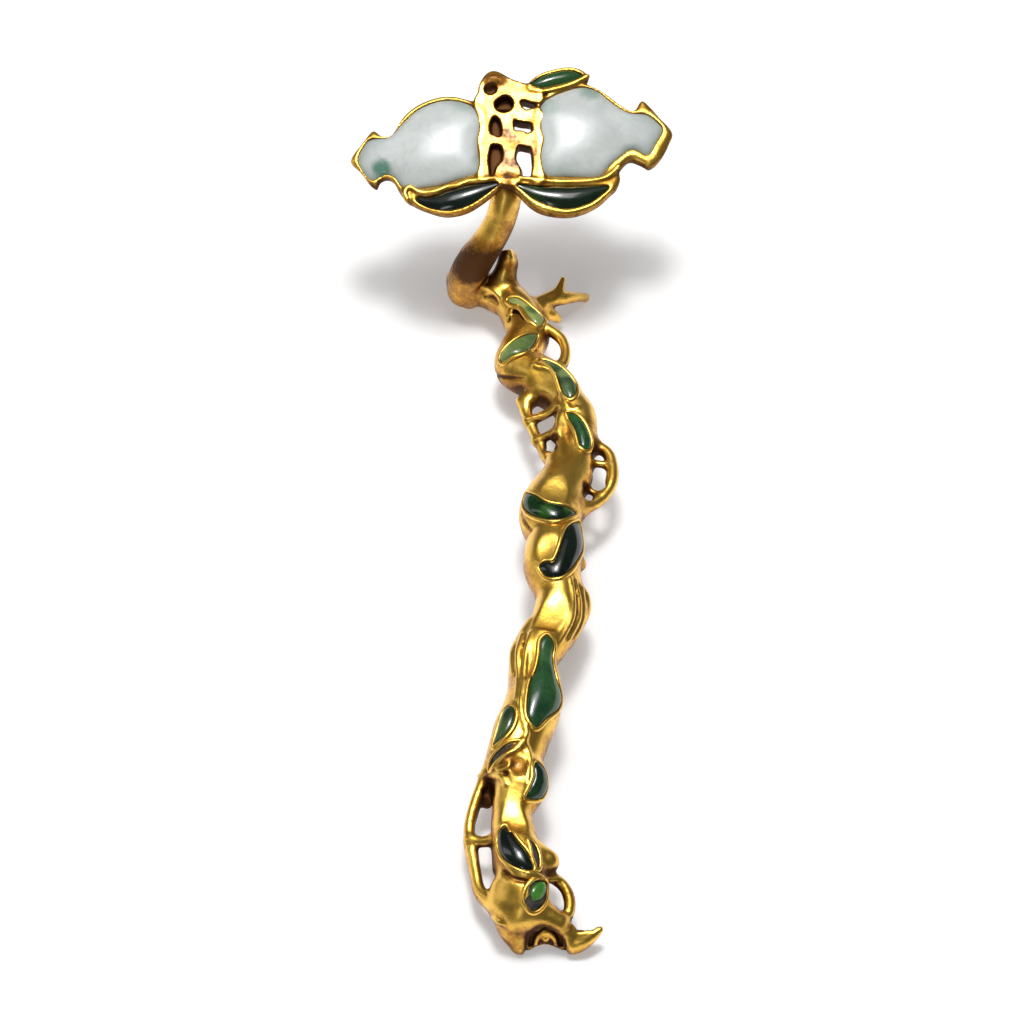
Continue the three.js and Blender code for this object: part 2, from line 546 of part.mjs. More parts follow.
addPiece('casting', casting(), GILT);
for (const [name, piece] of Object.entries(HEAD_PARTS)) {
  addPiece(name, headStone(piece), STONE_FINISH[name] ?? GREEN_JADE);
}
for (const [name, spine] of Object.entries(STEM_STONES)) {
  addPiece(name, stemStone(spine), STONE_FINISH[name] ?? GREEN_JADE);
}

export default sceptre;
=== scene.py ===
"""A gilt sceptre cast as a gnarled branch and set with jade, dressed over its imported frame.

The branch is a field of distances, because its forks, loops and net flow into one another:
every limb is a radius carried along a path, as in the frame, and the limbs are joined by a
smooth minimum and then given a skin. Rims are profiles carried round each stone, and stones
are grids of two parameters.

Shapes are worked out in millimetres on the frame's own stations, and turned into metres, with
the origin under the middle of the footprint, where they enter a mesh. The head has its own
flat frame: a runs to the right, b runs away from the stem, h is the height over its rims.
"""

import copy
import math

import bpy
import numpy as np
from bpy.props import FloatProperty, FloatVectorProperty, PointerProperty
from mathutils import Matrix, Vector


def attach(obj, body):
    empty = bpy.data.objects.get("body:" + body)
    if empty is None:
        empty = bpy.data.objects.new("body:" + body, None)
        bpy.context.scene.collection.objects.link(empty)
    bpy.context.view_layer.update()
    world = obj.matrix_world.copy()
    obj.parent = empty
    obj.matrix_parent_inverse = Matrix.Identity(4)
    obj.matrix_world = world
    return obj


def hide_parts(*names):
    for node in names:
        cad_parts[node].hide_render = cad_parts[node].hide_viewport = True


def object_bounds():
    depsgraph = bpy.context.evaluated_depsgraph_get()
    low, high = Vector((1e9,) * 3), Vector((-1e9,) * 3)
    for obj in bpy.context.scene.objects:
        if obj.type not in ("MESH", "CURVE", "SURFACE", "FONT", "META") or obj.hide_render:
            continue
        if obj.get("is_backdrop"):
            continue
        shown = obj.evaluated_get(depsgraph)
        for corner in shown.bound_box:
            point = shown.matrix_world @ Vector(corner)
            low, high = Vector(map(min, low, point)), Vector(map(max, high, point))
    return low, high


bl_info = {
    "name": "Jade-set Gilt Sceptre",
    "version": (1, 0, 0),
    "blender": (4, 5, 0),
    "location": "View3D > Sidebar > Sceptre",
    "description": "Dresses the frame of a gilt branch sceptre set with jade",
    "category": "Add Mesh",
}

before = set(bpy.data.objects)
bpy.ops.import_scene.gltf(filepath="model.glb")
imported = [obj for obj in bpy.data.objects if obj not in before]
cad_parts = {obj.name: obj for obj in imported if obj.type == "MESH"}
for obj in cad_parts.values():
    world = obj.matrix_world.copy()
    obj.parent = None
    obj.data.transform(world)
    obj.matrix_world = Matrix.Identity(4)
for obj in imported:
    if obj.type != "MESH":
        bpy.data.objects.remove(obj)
CAD_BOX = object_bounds()

MM = 0.001
MIDDLE_Y = 3.3  # where the middle of the footprint falls along the stations, mm
FAR = 50.0  # a distance beyond the reach of any blend, mm
REACH = 4.5  # how far round a limb its distances are worked out, mm
UNEVEN = ((0.22, 8.0, 1), (0.07, 3.1, 2))  # how the metal waves: height, cell in mm, seed

# ------------------------------------------------------------------ the branch, mm

STEM = [
    [-17.5, 125, 13, 6], [-12, 124.5, 13, 6.5], [-4.5, 122, 14, 7], [1, 114.5, 15, 7.5],
    [4.5, 106.5, 15, 8], [6.5, 98, 16, 8], [3.5, 90, 16.5, 8.5], [2.2, 81.5, 17, 8.9],
    [9.5, 75.5, 18, 9.2], [16, 69.5, 19, 9], [21, 61.5, 20, 7.5], [24.5, 54.5, 20, 7.5],
    [25, 43, 20, 7.5], [24.5, 33, 20, 7], [22, 24, 20.5, 8.5], [18, 17, 21, 10.5],
    [15.3, 9, 21, 12], [14.5, 2, 22, 11.5], [16, -6.5, 23, 10], [15.5, -14.5, 23, 11],
    [15, -21.5, 23, 10.5], [16.5, -30, 23, 9], [17, -36.5, 23, 8.5], [16, -45.5, 23, 9],
    [12.5, -54, 23, 8.8], [8, -63.5, 23, 8.5], [8.5, -75.5, 22, 9.5], [7, -84.5, 21, 10.5],
    [3, -95.5, 20, 10.5], [1, -105.5, 19, 10], [3, -115.5, 19, 9.5], [0, -126.5, 18.5, 7],
    [1, -137.5, 18, 8], [3, -148, 17, 9], [3.5, -156.5, 15, 9], [4, -163.5, 12.5, 9],
]
COLUMN = [[21, 56, 24, 3], [18.5, 46, 23.5, 3.5], [17.5, 38, 23, 4], [18, 28, 23, 5.5], [17, 19, 23, 7]]
NECK = [
    [-1, 141, 62.3, 5.2], [-1.5, 137.8, 61, 5.8], [-2.5, 133.5, 56.5, 6], [-4.5, 129.5, 49, 6],
    [-9, 126.5, 40, 6.3], [-14, 125, 31, 7], [-17.5, 125, 22, 7.2], [-19, 125, 13, 6.5],
]
LIMBS = {
    "heel": [[-20, 130, 13, 6], [-19, 130.5, 8, 5.6], [-17, 130, 3.2, 5.2]],
    "twig": [
        [6, 112, 14, 4.5], [13, 119, 13, 3.2], [19.5, 122.5, 10.5, 2.6], [25.5, 127, 6, 2.1],
        [29, 131, 1.1, 1.9],
    ],
    "twig prong": [[15.5, 120.5, 12.5, 2.6], [18.5, 125, 13, 1.9], [20, 129.5, 13.5, 1.2]],
    "twig stub": [[11, 115.5, 12, 3], [15.5, 115.5, 8.5, 2.2], [18, 116, 5.5, 1.6]],
    "upper loop": [
        [10, 101.5, 19, 3], [14.5, 98, 20, 2.2], [19, 93.5, 20, 2.1], [20.8, 87, 20, 2],
        [19.5, 81, 20, 2.2], [16, 78, 20, 2.5],
    ],
    "net edge": [
        [13, 67, 20, 3], [7.5, 65, 19, 2.4], [5, 61.5, 18, 2], [6.4, 54.5, 18, 1.9], [8.2, 49, 18, 1.8],
        [10.8, 42, 18, 1.8], [13.6, 36, 18, 1.9], [17, 29.5, 19, 2.4], [20, 24, 20, 3],
    ],
    "net nub": [[6, 62.5, 18, 2.2], [3.4, 63.8, 18, 1.6]],
    "net upper bar": [[6, 53, 18.5, 1.5], [12.5, 54.5, 21, 1.6], [19.5, 58, 24.5, 2]],
    "net lower bar": [[9, 43.5, 18.5, 1.5], [13.5, 44.5, 20.5, 1.5], [18, 45.5, 23, 1.8]],
    "net foot bar": [[13.6, 36, 18, 1.9], [16.2, 31, 18.5, 2.3], [19.5, 25.5, 19.5, 2.8]],
    "side loop": [
        [28, 42, 20, 2.6], [33, 39.5, 20, 2], [36.7, 35.5, 20, 2], [38, 28.5, 20, 2], [37.2, 21, 20, 2],
        [33, 14, 20, 2], [26, 9, 21, 2.6],
    ],
    "side loop upper bar": [[27, 30.5, 21, 1.8], [32, 31, 20.5, 1.2], [38, 30, 20, 1.3]],
    "side loop lower bar": [[26, 21, 20, 1.6], [30.5, 17.5, 20, 1.1], [34.5, 15.5, 20, 1.3]],
    "side bud": [[23, -17, 22, 2.5], [25.8, -17.5, 21, 2]],
    "right ridge, outer": [
        [24, -26.5, 21, 1.6], [27, -32, 20, 2], [27, -39, 20, 2], [24, -46, 20, 2],
        [20, -53, 20, 1.8],
    ],
    "right ridge, inner": [
        [22.5, -27.5, 25, 1.6], [24.5, -33, 24, 2], [24, -41, 24, 2], [21, -48.5, 24, 2],
        [16, -59, 24, 1.8],
    ],
    "left ridge, outer": [
        [4.5, -50, 22, 1.8], [1.4, -56.5, 20.5, 2], [1.2, -64, 20, 2], [0.6, -71, 20, 1.8],
        [0.5, -80, 20, 1.6],
    ],
    "left ridge, inner": [
        [7, -48.5, 26, 1.8], [4, -55, 26, 2], [3.2, -63.5, 25.5, 2], [2.5, -74, 25, 1.6],
    ],
    "handle": [
        [-3, -99, 20, 4], [-7, -105, 18, 3], [-10.5, -112.5, 16, 2.3], [-13.5, -121, 14, 2.1],
        [-15.3, -129, 12.5, 2.1], [-14.4, -138, 11.5, 2.3], [-13, -147, 11, 2.1],
        [-11.3, -155, 11, 2.3], [-6, -161.5, 12, 3.2],
    ],
    "handle web": [[-9.6, -112.5, 12, 2.4], [-9, -117.5, 10.5, 2.2]],
    "left flank": [[-2.4, -111, 15, 4.6], [-2.2, -122, 14, 5], [-2.5, -134, 13, 5], [-1.5, -146, 12, 5.5]],
    "handle bar": [[-14.6, -134.5, 12, 2.4], [-10, -136, 13.5, 2], [-4, -136, 16, 2.5]],
    "knuckle": [[8, -143.5, 17, 4.6], [12.2, -146.5, 16.5, 4.6]],
    "foot loop": [
        [8, -151, 15, 2.6], [13.5, -151.5, 14.5, 2.2], [18.2, -154.5, 13, 2], [20.3, -159.5, 11.5, 2],
        [19.6, -165, 10, 2.2], [16, -168, 9.5, 3],
    ],
    "hoof cushion": [[-1.5, -157, 13.6, 6.4], [0, -163, 13, 6.6]],
    "foot heel": [[-1, -161, 12, 6.5], [0.5, -167, 7.5, 6], [3.5, -170.8, 2.6, 5]],
    "foot bridge": [[1, -168, 12.5, 4], [10, -167, 13, 4], [16, -168.5, 10.5, 4.2]],
    "foot arch": [[5.5, -169, 4.5, 3.6], [11.5, -169.5, 5, 3.8], [17.5, -169, 4.5, 3.6]],
    "foot claw": [
        [8, -164, 11, 6.5], [15, -169, 7, 5.2], [20.5, -171.3, 3.3, 4.8], [26, -171.5, 5.5, 3.2],
        [31, -169.5, 8, 1.3],
    ],
    "foot eye": [[12.5, -170, 8, 2.6], [12.8, -172.3, 7.5, 2]],
}
LOPPED = [[-5, 121, 14, 7], [-3.6, 124, 19, 5.4], [-2, 127, 24.5, 4.3], [-0.8, 129, 29, 4.2]]
# The planes that lop the branch: a point of each, and the way it faces.
LOPPED_CUTS = [[[1.9, 128.6, 27.2], [0.9, 0.1, 0.42]], [[0, 130.4, 30.4], [-0.1, 0.8, 0.6]]]

# ------------------------------------------------------------------ the head, mm

HEAD_CENTRE = np.array([0, 147.5, 72])
HEAD_TILT = math.radians(18)
LOBE_TILT = math.radians(5)
TRAY_DEPTH = 5.5
POCKET_DEPTH = 2.8
STONE_EDGE = -0.8  # h of a stone's edge
STONE_FOOT = -2.6  # h of a stone's underside
RIM_FALL = 1.1  # how far a tray's top falls from its crest to its outline

LEFT_FRUIT_TRAY = [
    [-63, -3.5], [-59, 3], [-54.5, 9], [-50.5, 6.5], [-47, 7], [-42, 15], [-35.5, 20], [-25.5, 22.5],
    [-15.5, 20], [-11, 17], [-9, 11], [-9, 4.5], [-10.5, 1], [-10, -5.5], [-10, -13], [-16, -16],
    [-28, -19.5], [-35.5, -21.5], [-40, -22.5], [-43.5, -18.5], [-46, -13.8], [-48.5, -12], [-51, -12.8],
    [-52.5, -15.8], [-55.2, -14.3], [-59.5, -8.3],
]
LEFT_FRUIT = [
    [-60, -3.5], [-57.5, 2.5], [-55, 4.8], [-49, 5], [-46, 7], [-42, 12], [-35.5, 17.5], [-26.5, 20.3],
    [-18.5, 19], [-13.5, 15.5], [-11, 11.5], [-11.5, 7.5], [-13, 2.5], [-13, -2.5], [-12, -8.5],
    [-13.5, -11.5], [-22, -14], [-29, -16], [-36, -17], [-40, -17.5], [-43, -15.5], [-45.5, -12],
    [-49, -10.5], [-52, -12], [-55, -12.5], [-58, -9],
]
RIGHT_FRUIT_TRAY = [
    [8, 14.5], [10.5, 20], [17, 25], [26, 28.5], [33.5, 26], [39, 22], [45, 17.5], [48, 17.5], [50.5, 21.5],
    [53, 20.5], [58, 14.5], [63, 8.5], [61.5, 3], [58.5, -3], [54, -7.3], [50.5, -5.8], [46, -4.5],
    [42, -9.5], [40, -14], [34, -17], [26, -17.5], [17, -17.5], [9, -15], [8, -8.5], [7.5, -4],
    [8.5, 2.5], [7.5, 7],
]
RIGHT_FRUIT = [
    [10, 13.5], [12.5, 19.3], [19, 23.3], [27, 26], [33.5, 24.5], [37.5, 21.2], [41.5, 18], [46, 15.8],
    [52, 15.5], [56.5, 12.5], [58.8, 9], [56, 3], [53, -2], [49.5, -0.8], [46.5, 0], [43, -2.5],
    [38.5, -6.5], [36.5, -9.5], [33.5, -12], [28, -12.5], [22, -12.5], [15, -12.5], [11.7, -10.5],
    [10.5, -4], [11.5, 2.5], [10.3, 7],
]
LEFT_LEAF_TRAY = [
    [-1, -12.5], [-3.5, -16], [-9, -21.6], [-15.5, -26], [-22, -28.2], [-28.5, -28], [-35.5, -25.3],
    [-40.5, -21.5], [-40.5, -18.5], [-38, -16.5], [-34, -17.5], [-28, -16], [-16, -13], [-10, -12],
]
LEFT_LEAF = [
    [-5, -15.5], [-15.5, -15.8], [-24.5, -18], [-29.5, -20], [-33, -20.6], [-36.5, -20], [-37.3, -21.8],
    [-34, -24.3], [-28.5, -26.4], [-22, -26.5], [-15.5, -24.3], [-9.5, -20],
]
RIGHT_LEAF_TRAY = [
    [-1, -12.5], [10, -13], [34, -13], [38, -12], [38, -9], [41, -8.5], [42.5, -12], [41, -16.5],
    [38.5, -19], [33.5, -24], [26, -28], [19.5, -29], [12.5, -28], [7, -25.2], [2.5, -20.5], [-2, -16],
]
RIGHT_LEAF = [
    [2, -16.3], [10, -16.7], [20, -16.5], [35, -15.5], [37.7, -16.3], [35, -19.6], [30, -23.5],
    [22, -26.2], [15, -25.3], [8.5, -22.3], [4.5, -19],
]
TOP_LEAF_TRAY = [
    [5, 24], [6.5, 27.5], [10, 31], [15, 33.2], [22, 34.8], [27, 34], [30, 31.3], [29, 27.5], [17, 23],
    [10, 22],
]
TOP_LEAF = [
    [7.3, 26], [10.5, 29.3], [15, 31.5], [21.5, 33], [26, 32.2], [28, 30], [23, 27.5], [17, 25.8],
    [11.5, 24.5],
]

# Each head stone: its tray and outline, the side of the head, its rise, and which point of the
# outline is its far tip; the first point is the near one.
HEAD_STONES = {
    "pomegranate_left": {"tray": LEFT_FRUIT_TRAY, "stone": LEFT_FRUIT, "side": -1, "dome": 5.0, "tip": 12},
    "pomegranate_right": {
        "tray": RIGHT_FRUIT_TRAY,
        "stone": RIGHT_FRUIT,
        "side": 1,
        "dome": 5.0,
        "tip": 10,
    },
    "head_leaf_left": {"tray": LEFT_LEAF_TRAY, "stone": LEFT_LEAF, "side": -1, "dome": 2.4, "tip": 5},
    "head_leaf_right": {"tray": RIGHT_LEAF_TRAY, "stone": RIGHT_LEAF, "side": 1, "dome": 2.4, "tip": 4},
    "head_leaf_top": {"tray": TOP_LEAF_TRAY, "stone": TOP_LEAF, "side": 1, "dome": 2.4, "tip": 5},
}

# Green in the pale fruits, and where it lies: [a, b, radius, share].
FRUIT_GREEN = (0.05, 0.22, 0.14)
GREEN_PATCHES = {
    "pomegranate_left": [[-50.5, -8.5, 8, 0.85], [-12, -6, 7, 0.3], [-20, 18, 8, 0.25]],
    "pomegranate_right": [[30, 23, 8, 0.5], [14, 16, 9, 0.25], [47, -2, 8, 0.3], [22, -11, 10, 0.15]],
}

# Bars of the knot between the fruits: [a, b, half width].
KNOT_BARS = [
    [
        [-2.4, 13.4, 2.1], [-1.8, 9, 1.7], [-1.4, 5.5, 1.8], [-1, 2, 2.9], [-1, -2, 1.8], [-1.1, -6, 1.9],
        [-1.4, -9.5, 3], [-1.6, -12, 5],
    ],
    [[-11, 2.2, 2.2], [-8.5, 2.8, 1.4], [-5, 2.2, 0.9], [-1, 1.6, 1.6]],
    [[0, 16, 2.4], [3, 13.4, 2.1], [6, 12.6, 1.7], [9.5, 13, 2.9]],
    [[-0.5, 2.4, 2.4], [3, 3.6, 2.3], [6, 2.2, 1.8], [9.5, 3, 2.9]],
    [[-4.6, 22.4, 2.4], [-6, 25.5, 3], [-7.4, 28.6, 2.8]],
    [[-3, 25, 3.4], [0, 23.4, 2.6], [3.5, 22.6, 1.9], [9.5, 21, 2.6]],
    [[-7, 28.4, 3], [-2.5, 27, 1.8], [3.5, 24.8, 1.6], [9.5, 22.6, 1.8]],
    [
        [-11.8, 20, 2.6], [-10.6, 14.5, 2.6], [-10.8, 8, 1.5], [-10.6, 2, 1.9], [-10.8, -6, 1.2],
        [-11, -13, 2],
    ],
    [[9.4, 12, 1.6], [9.9, 6, 1.0], [9.4, 0, 1.6], [9.6, -7, 1.1], [10, -14, 2.2]],
]
# Its rings: [a, b, radius, half width].
KNOT_RINGS = [[-3.1, 17.9, 4.9, 1.3], [-8.4, 24.4, 3.5, 1.2]]
KNOT_TOP, KNOT_FOOT = -0.3, -7.2  # h of its top and its underside
# The knob at its top: [a, b, h, radius].
KNOT_DOME = [[-9.6, 27, -2.6, 3], [-7.4, 28.8, -1.8, 3.2], [-5, 28.2, -1.8, 2.6]]
# Floors behind its hollows: [middle, size].
KNOT_BACKS = [
    [[-5.6, 1.5, -5.2], [11.5, 28, 3.2]], [[-4, 21.5, -6.4], [12, 9, 2.4]], [[-8.6, 24, -3.4], [6, 6, 2.4]],
]

# Raised lines on the head's metal: [a, b, h, radius].
HEAD_STRANDS = [
    [
        [-7, -13.6, -0.1, 0.8], [-12, -14.4, 0, 1.0], [-17, -14.6, 0, 0.9], [-21, -16.2, 0, 1.1],
        [-25, -16.6, 0, 0.9], [-29.5, -18.4, 0, 1.1], [-33.2, -18.8, 0, 1.0], [-36.4, -18.2, 0, 1.1],
        [-39.6, -16.2, 0, 1.2], [-41.6, -18.4, 0, 1.1], [-40.6, -21.4, -0.2, 1.0],
    ],
    [
        [3, -13.6, -0.1, 0.8], [9, -14.3, 0, 1.0], [15, -14.7, 0, 0.9], [22, -14.6, 0, 1.0],
        [29, -14, 0, 0.9], [35, -12.8, 0, 1.0], [38.6, -10.6, -0.1, 1.1], [41.5, -7.4, -0.2, 1.0],
    ],
    [[7, 24, -0.3, 0.9], [12, 23.4, 0, 0.9], [18, 25, 0, 0.9], [24, 27.4, 0, 0.9], [29.4, 30.6, -0.2, 1.2]],
]

# ------------------------------------------------------------------ the stem's stones, mm

# Each stone's two edges, from its first tip to its last.
STEM_STONES = {
    "stem_leaf_1": [
        [
            [-1.6, 112, 21], [1.2, 112.1, 22.1], [4.3, 110.3, 23.7], [7.4, 107.9, 24.2], [10.4, 105.6, 23],
            [12, 102.6, 21.8], [11.9, 99.4, 21.6], [10, 96.8, 22.6],
        ],
        [
            [-1.6, 112, 21], [0, 109.2, 22.6], [3.4, 107.2, 23.6], [5.6, 102.9, 23.8], [7.6, 99, 23.7],
            [10, 96.8, 22.6],
        ],
    ],
    "stem_leaf_2": [
        [
            [-2, 79, 21.6], [-4, 81.4, 22.6], [-2.9, 84.5, 25], [-0.4, 87.2, 26.5], [3.1, 89.6, 26.4],
            [6.6, 91.7, 25.3], [10, 93, 22.9],
        ],
        [
            [-2, 79, 21.6], [0.4, 79.9, 24], [3.2, 80.6, 25.8], [6.2, 82.9, 25.9], [8.4, 87.4, 23.6],
            [10, 93, 22.9],
        ],
    ],
    "stem_leaf_3": [
        [
            [10.8, 76.5, 27.1], [14.2, 76.3, 28.5], [17.2, 75.1, 28.3], [20.2, 72.5, 28.3],
            [22.6, 69.2, 27.6], [24.4, 65.6, 26.8], [24.6, 61.4, 27.2], [23.6, 58.3, 27.3],
            [21.9, 56.8, 27],
        ],
        [
            [10.8, 76.5, 27.1], [14.6, 73.2, 28.2], [16.9, 69, 28.3], [18.2, 64.5, 27.6], [19.6, 60, 27.2],
            [21.9, 56.8, 27],
        ],
    ],
    "stem_leaf_4": [
        [
            [20.9, 50.8, 26.3], [24.5, 48.6, 27.8], [28, 44, 28], [30, 38.5, 25.9], [29.6, 34.8, 25.6],
            [27.8, 33, 25.7],
        ],
        [
            [20.9, 50.8, 26.3], [22, 47.2, 27.1], [24.2, 41.5, 28], [25.3, 36.7, 27.9], [26, 34, 27],
            [27.8, 33, 25.7],
        ],
    ],
    "stem_leaf_5": [
        [
            [4.4, 11.2, 29], [8.6, 6.6, 32.6], [12.3, 2.5, 33.7], [17.1, 1.2, 33.3], [21.2, 0.7, 32.1],
            [23.8, 0.6, 28.8],
        ],
        [
            [4.4, 11.2, 29], [4.2, 5.6, 28], [6.4, 0.6, 29.2], [10, -3.2, 30.9], [14, -5.8, 33],
            [17.8, -5.6, 33.2], [21.6, -2.4, 30.2], [23.8, 0.6, 28.8],
        ],
    ],
    "stem_leaf_6": [
        [
            [25, -2, 27.7], [26, -8, 26.4], [25.2, -14, 26.4], [23.3, -22, 28.6], [20.3, -28.5, 30.6],
            [16.8, -31.8, 31.4], [12.9, -30.5, 30.4], [10.7, -26.2, 30.1],
        ],
        [
            [25, -2, 27.7], [20.3, -9.5, 33.1], [17.6, -19.6, 33.3], [15.3, -25.3, 31.9],
            [12.6, -24.8, 30.9], [10.7, -26.2, 30.1],
        ],
    ],
    "stem_gourd": [
        [
            [12.8, -57.8, 31.6], [10.6, -60.4, 31.4], [10.2, -66, 31.7], [8.8, -72.3, 31.8],
            [6.6, -79, 31.8], [5.6, -87, 31.8], [5.7, -93.5, 30.9], [7.7, -97.2, 27.8],
        ],
        [
            [12.8, -57.8, 31.6], [15, -60.3, 30], [15.1, -65, 28.8], [15.2, -70.5, 28.8],
            [16.4, -76.5, 27.8], [17.5, -81.5, 24.5], [15.8, -86.5, 25], [12, -91, 26.7], [9.6, -95, 27.5],
            [7.7, -97.2, 27.8],
        ],
    ],
    "stem_leaf_7": [
        [
            [-1.4, -87.7, 30], [-3.6, -90.2, 28.2], [-4.8, -95, 27.8], [-6, -99.3, 27.2],
            [-6.8, -103.6, 25.4],
        ],
        [
            [-1.4, -87.7, 30], [0.9, -90, 30.3], [1.1, -94, 30], [-0.2, -98, 29.8], [-2.9, -101.4, 28.6],
            [-6.8, -103.6, 25.4],
        ],
    ],
    "stem_leaf_8": [
        [
            [8.2, -110.7, 27], [10.8, -111.6, 25.2], [12.2, -114, 23], [11.8, -117.6, 20.8],
            [8.9, -121.4, 20.6], [3.9, -124.3, 23.6],
        ],
        [
            [8.2, -110.7, 27], [7.4, -113.5, 27], [7.5, -116.8, 26.4], [6.4, -120.3, 25.8],
            [3.9, -124.3, 23.6],
        ],
    ],
    "stem_leaf_9": [
        [
            [-2.4, -136.5, 25.8], [-4.6, -139.5, 23.6], [-4.7, -144, 22.8], [-3, -148.6, 23],
            [0.4, -153, 23.7], [4.4, -155.3, 23.5], [7, -154.7, 22.8],
        ],
        [
            [-2.4, -136.5, 25.8], [-0.6, -139.8, 26.6], [1.8, -144.2, 26.7], [4.9, -148.3, 25.8],
            [6.7, -152, 24.2], [7, -154.7, 22.8],
        ],
    ],
    "stem_leaf_10": [
        [
            [11.6, -157.2, 19.2], [9.2, -158.2, 21.4], [7, -160.6, 21.8], [6, -163, 21.2],
            [6.6, -165.2, 19.2],
        ],
        [
            [11.6, -157.2, 19.2], [12, -159.2, 18.6], [10.9, -161.6, 18.2], [9, -164.2, 18.6],
            [6.6, -165.2, 19.2],
        ],
    ],
}
EMPTY_SETTINGS = {
    "slanting": [
        [[3.1, -103.5, 28], [-0.7, -104.2, 28.6], [-4.2, -106, 27.4], [-7.4, -108.6, 24], [-8.6, -111, 21]],
        [[3.1, -103.5, 28], [1.4, -106, 28.6], [-2.4, -108, 27.4], [-6, -110, 24.6], [-8.6, -111, 21]],
    ],
    "worn": [
        [[5.8, -142.6, 25.4], [8.2, -144.6, 24.8], [9.4, -148, 23.8], [9.3, -152, 22.8], [8.2, -154, 22.4]],
        [[5.8, -142.6, 25.4], [6.8, -146, 25], [7.3, -150, 24.4], [8.2, -154, 22.4]],
    ],
    "last": [
        [
            [12.8, -156.4, 18], [9, -157.4, 21.4], [5.8, -160.4, 21.9], [4.6, -163.6, 21],
            [4.6, -166, 19.5], [6.2, -167.8, 17.4],
        ],
        [
            [12.8, -156.4, 18], [12.7, -159.4, 17.8], [11.2, -162.6, 17.4], [9, -165.8, 17],
            [6.2, -167.8, 17.4],
        ],
    ],
}

# Raised strands of gold laid on the skin: [x, y, z, radius].
STRANDS = {
    "curl over leaf 3": [
        [17, 69.3, 28.4, 0.8], [13.5, 72, 28.3, 0.9], [9.6, 73.6, 27, 0.9], [8.3, 75.3, 26.6, 0.9],
        [9.8, 77.4, 26.5, 0.8], [13.5, 77.2, 27.5, 0.7],
    ],
    "leaf 4 to the net": [
        [21, 51.5, 26.5, 1.1], [18, 55.5, 25.5, 1.3], [14, 54.6, 22, 1.2], [6, 53, 19, 1.1],
    ],
    "over leaf 4": [[19, 60, 26.5, 1.2], [20.5, 55, 26.6, 1.4], [22.5, 52, 27, 1.2], [25, 52.5, 26, 0.9]],
    "right ridge 1": [
        [21.4, -31, 29.8, 0.8], [22.1, -40, 28.6, 1.0], [20.6, -48.5, 27.8, 1.0], [16.8, -58, 27.6, 0.8],
    ],
    "right ridge 2": [
        [23.2, -30.5, 28.2, 0.8], [24.4, -38, 26.2, 1.0], [23.5, -46, 25.5, 1.0], [19.6, -55, 25.4, 0.8],
    ],
    "right ridge 3": [
        [25, -31.5, 24.6, 0.8], [26.6, -38.5, 22.8, 1.1], [25.5, -45.5, 22, 1.0], [22, -52, 22, 0.8],
    ],
    "left ridge 1": [
        [6.8, -56, 30.8, 0.8], [5, -65, 30.8, 1.0], [4, -76, 30.8, 1.0], [3.2, -88, 30.4, 0.9],
        [4.4, -98, 29, 0.8],
    ],
    "left ridge 2": [
        [3.6, -55.5, 28.6, 0.9], [2.4, -64, 28.8, 1.1], [2.2, -74, 29, 1.0], [1.6, -85, 29.6, 0.7],
    ],
    "left ridge 3": [[1.4, -54.5, 24, 1.0], [0.4, -62, 25.6, 1.1], [0.4, -72, 26.6, 0.9]],
    "fork, stem": [[5.2, -96, 30, 0.9], [5, -100, 28.6, 1.1], [4, -103.3, 28.4, 1.3]],
    "fork, left": [
        [4, -103.3, 28.4, 1.3], [1.2, -106.6, 28.6, 1.1], [-2.6, -108.9, 27.4, 1.0],
        [-7, -111.6, 23.4, 0.9],
    ],
    "fork, right": [
        [4, -103.3, 28.4, 1.3], [6, -107, 27.6, 1.2], [6.4, -111, 27.4, 1.0], [5.8, -115.5, 27.6, 1.0],
        [5.4, -120.5, 26.2, 1.0],
    ],
    "handle's brow": [
        [-10.5, -109.5, 16, 1.0], [-6.5, -113, 21.5, 1.2], [-3, -116.4, 25, 1.2], [-1.6, -120, 25.5, 0.8],
    ],
    "nugget": [
        [-5.6, -111.2, 24.4, 0.9], [-4, -113.6, 25.4, 0.9], [-1.6, -113.4, 26.6, 0.8],
        [-0.8, -111.6, 27.4, 0.7], [-2.6, -110.6, 27, 0.6],
    ],
    "leaf 9's tail": [
        [5.6, -156.2, 22.8, 1.2], [9.5, -156.2, 20.8, 1.5], [13.4, -154.8, 17.5, 1.4],
        [16, -153, 15.5, 1.0],
    ],
    "brow of the hollow": [
        [-2, 104.5, 21, 0.8], [0, 107.4, 23, 0.9], [3, 108, 24, 0.8], [5.2, 104.6, 24.2, 0.8],
        [6.4, 101, 23.8, 0.7],
    ],
    "hoof's brow": [
        [-4.2, -165.1, 10.8, 0.7], [0.4, -167.5, 12.5, 1.1], [4.8, -167.4, 12, 1.3], [8, -166.6, 12.6, 1.2],
        [11.8, -166.8, 12.8, 1.2], [15.6, -168, 11.4, 1.2], [19, -170, 9, 1.2], [23, -171.4, 7.2, 1.0],
        [27, -171, 7, 0.7],
    ],
    "leaf 9's rim": [
        [-2.6, -136, 25.6, 0.7], [-5.2, -139.6, 23.2, 1.0], [-5.4, -144.1, 22.4, 1.1],
        [-3.7, -149, 22.6, 1.2], [-0.2, -153.5, 23.2, 1.2], [4.2, -155.9, 23.1, 1.1],
        [7.4, -155.4, 22.4, 1.0],
    ],
    "knob's fold": [
        [-11, 121, 19, 0.9], [-8.5, 120, 19.5, 1.2], [-6, 117.6, 19.6, 1.1], [-4.4, 115, 19.6, 0.7],
    ],
}

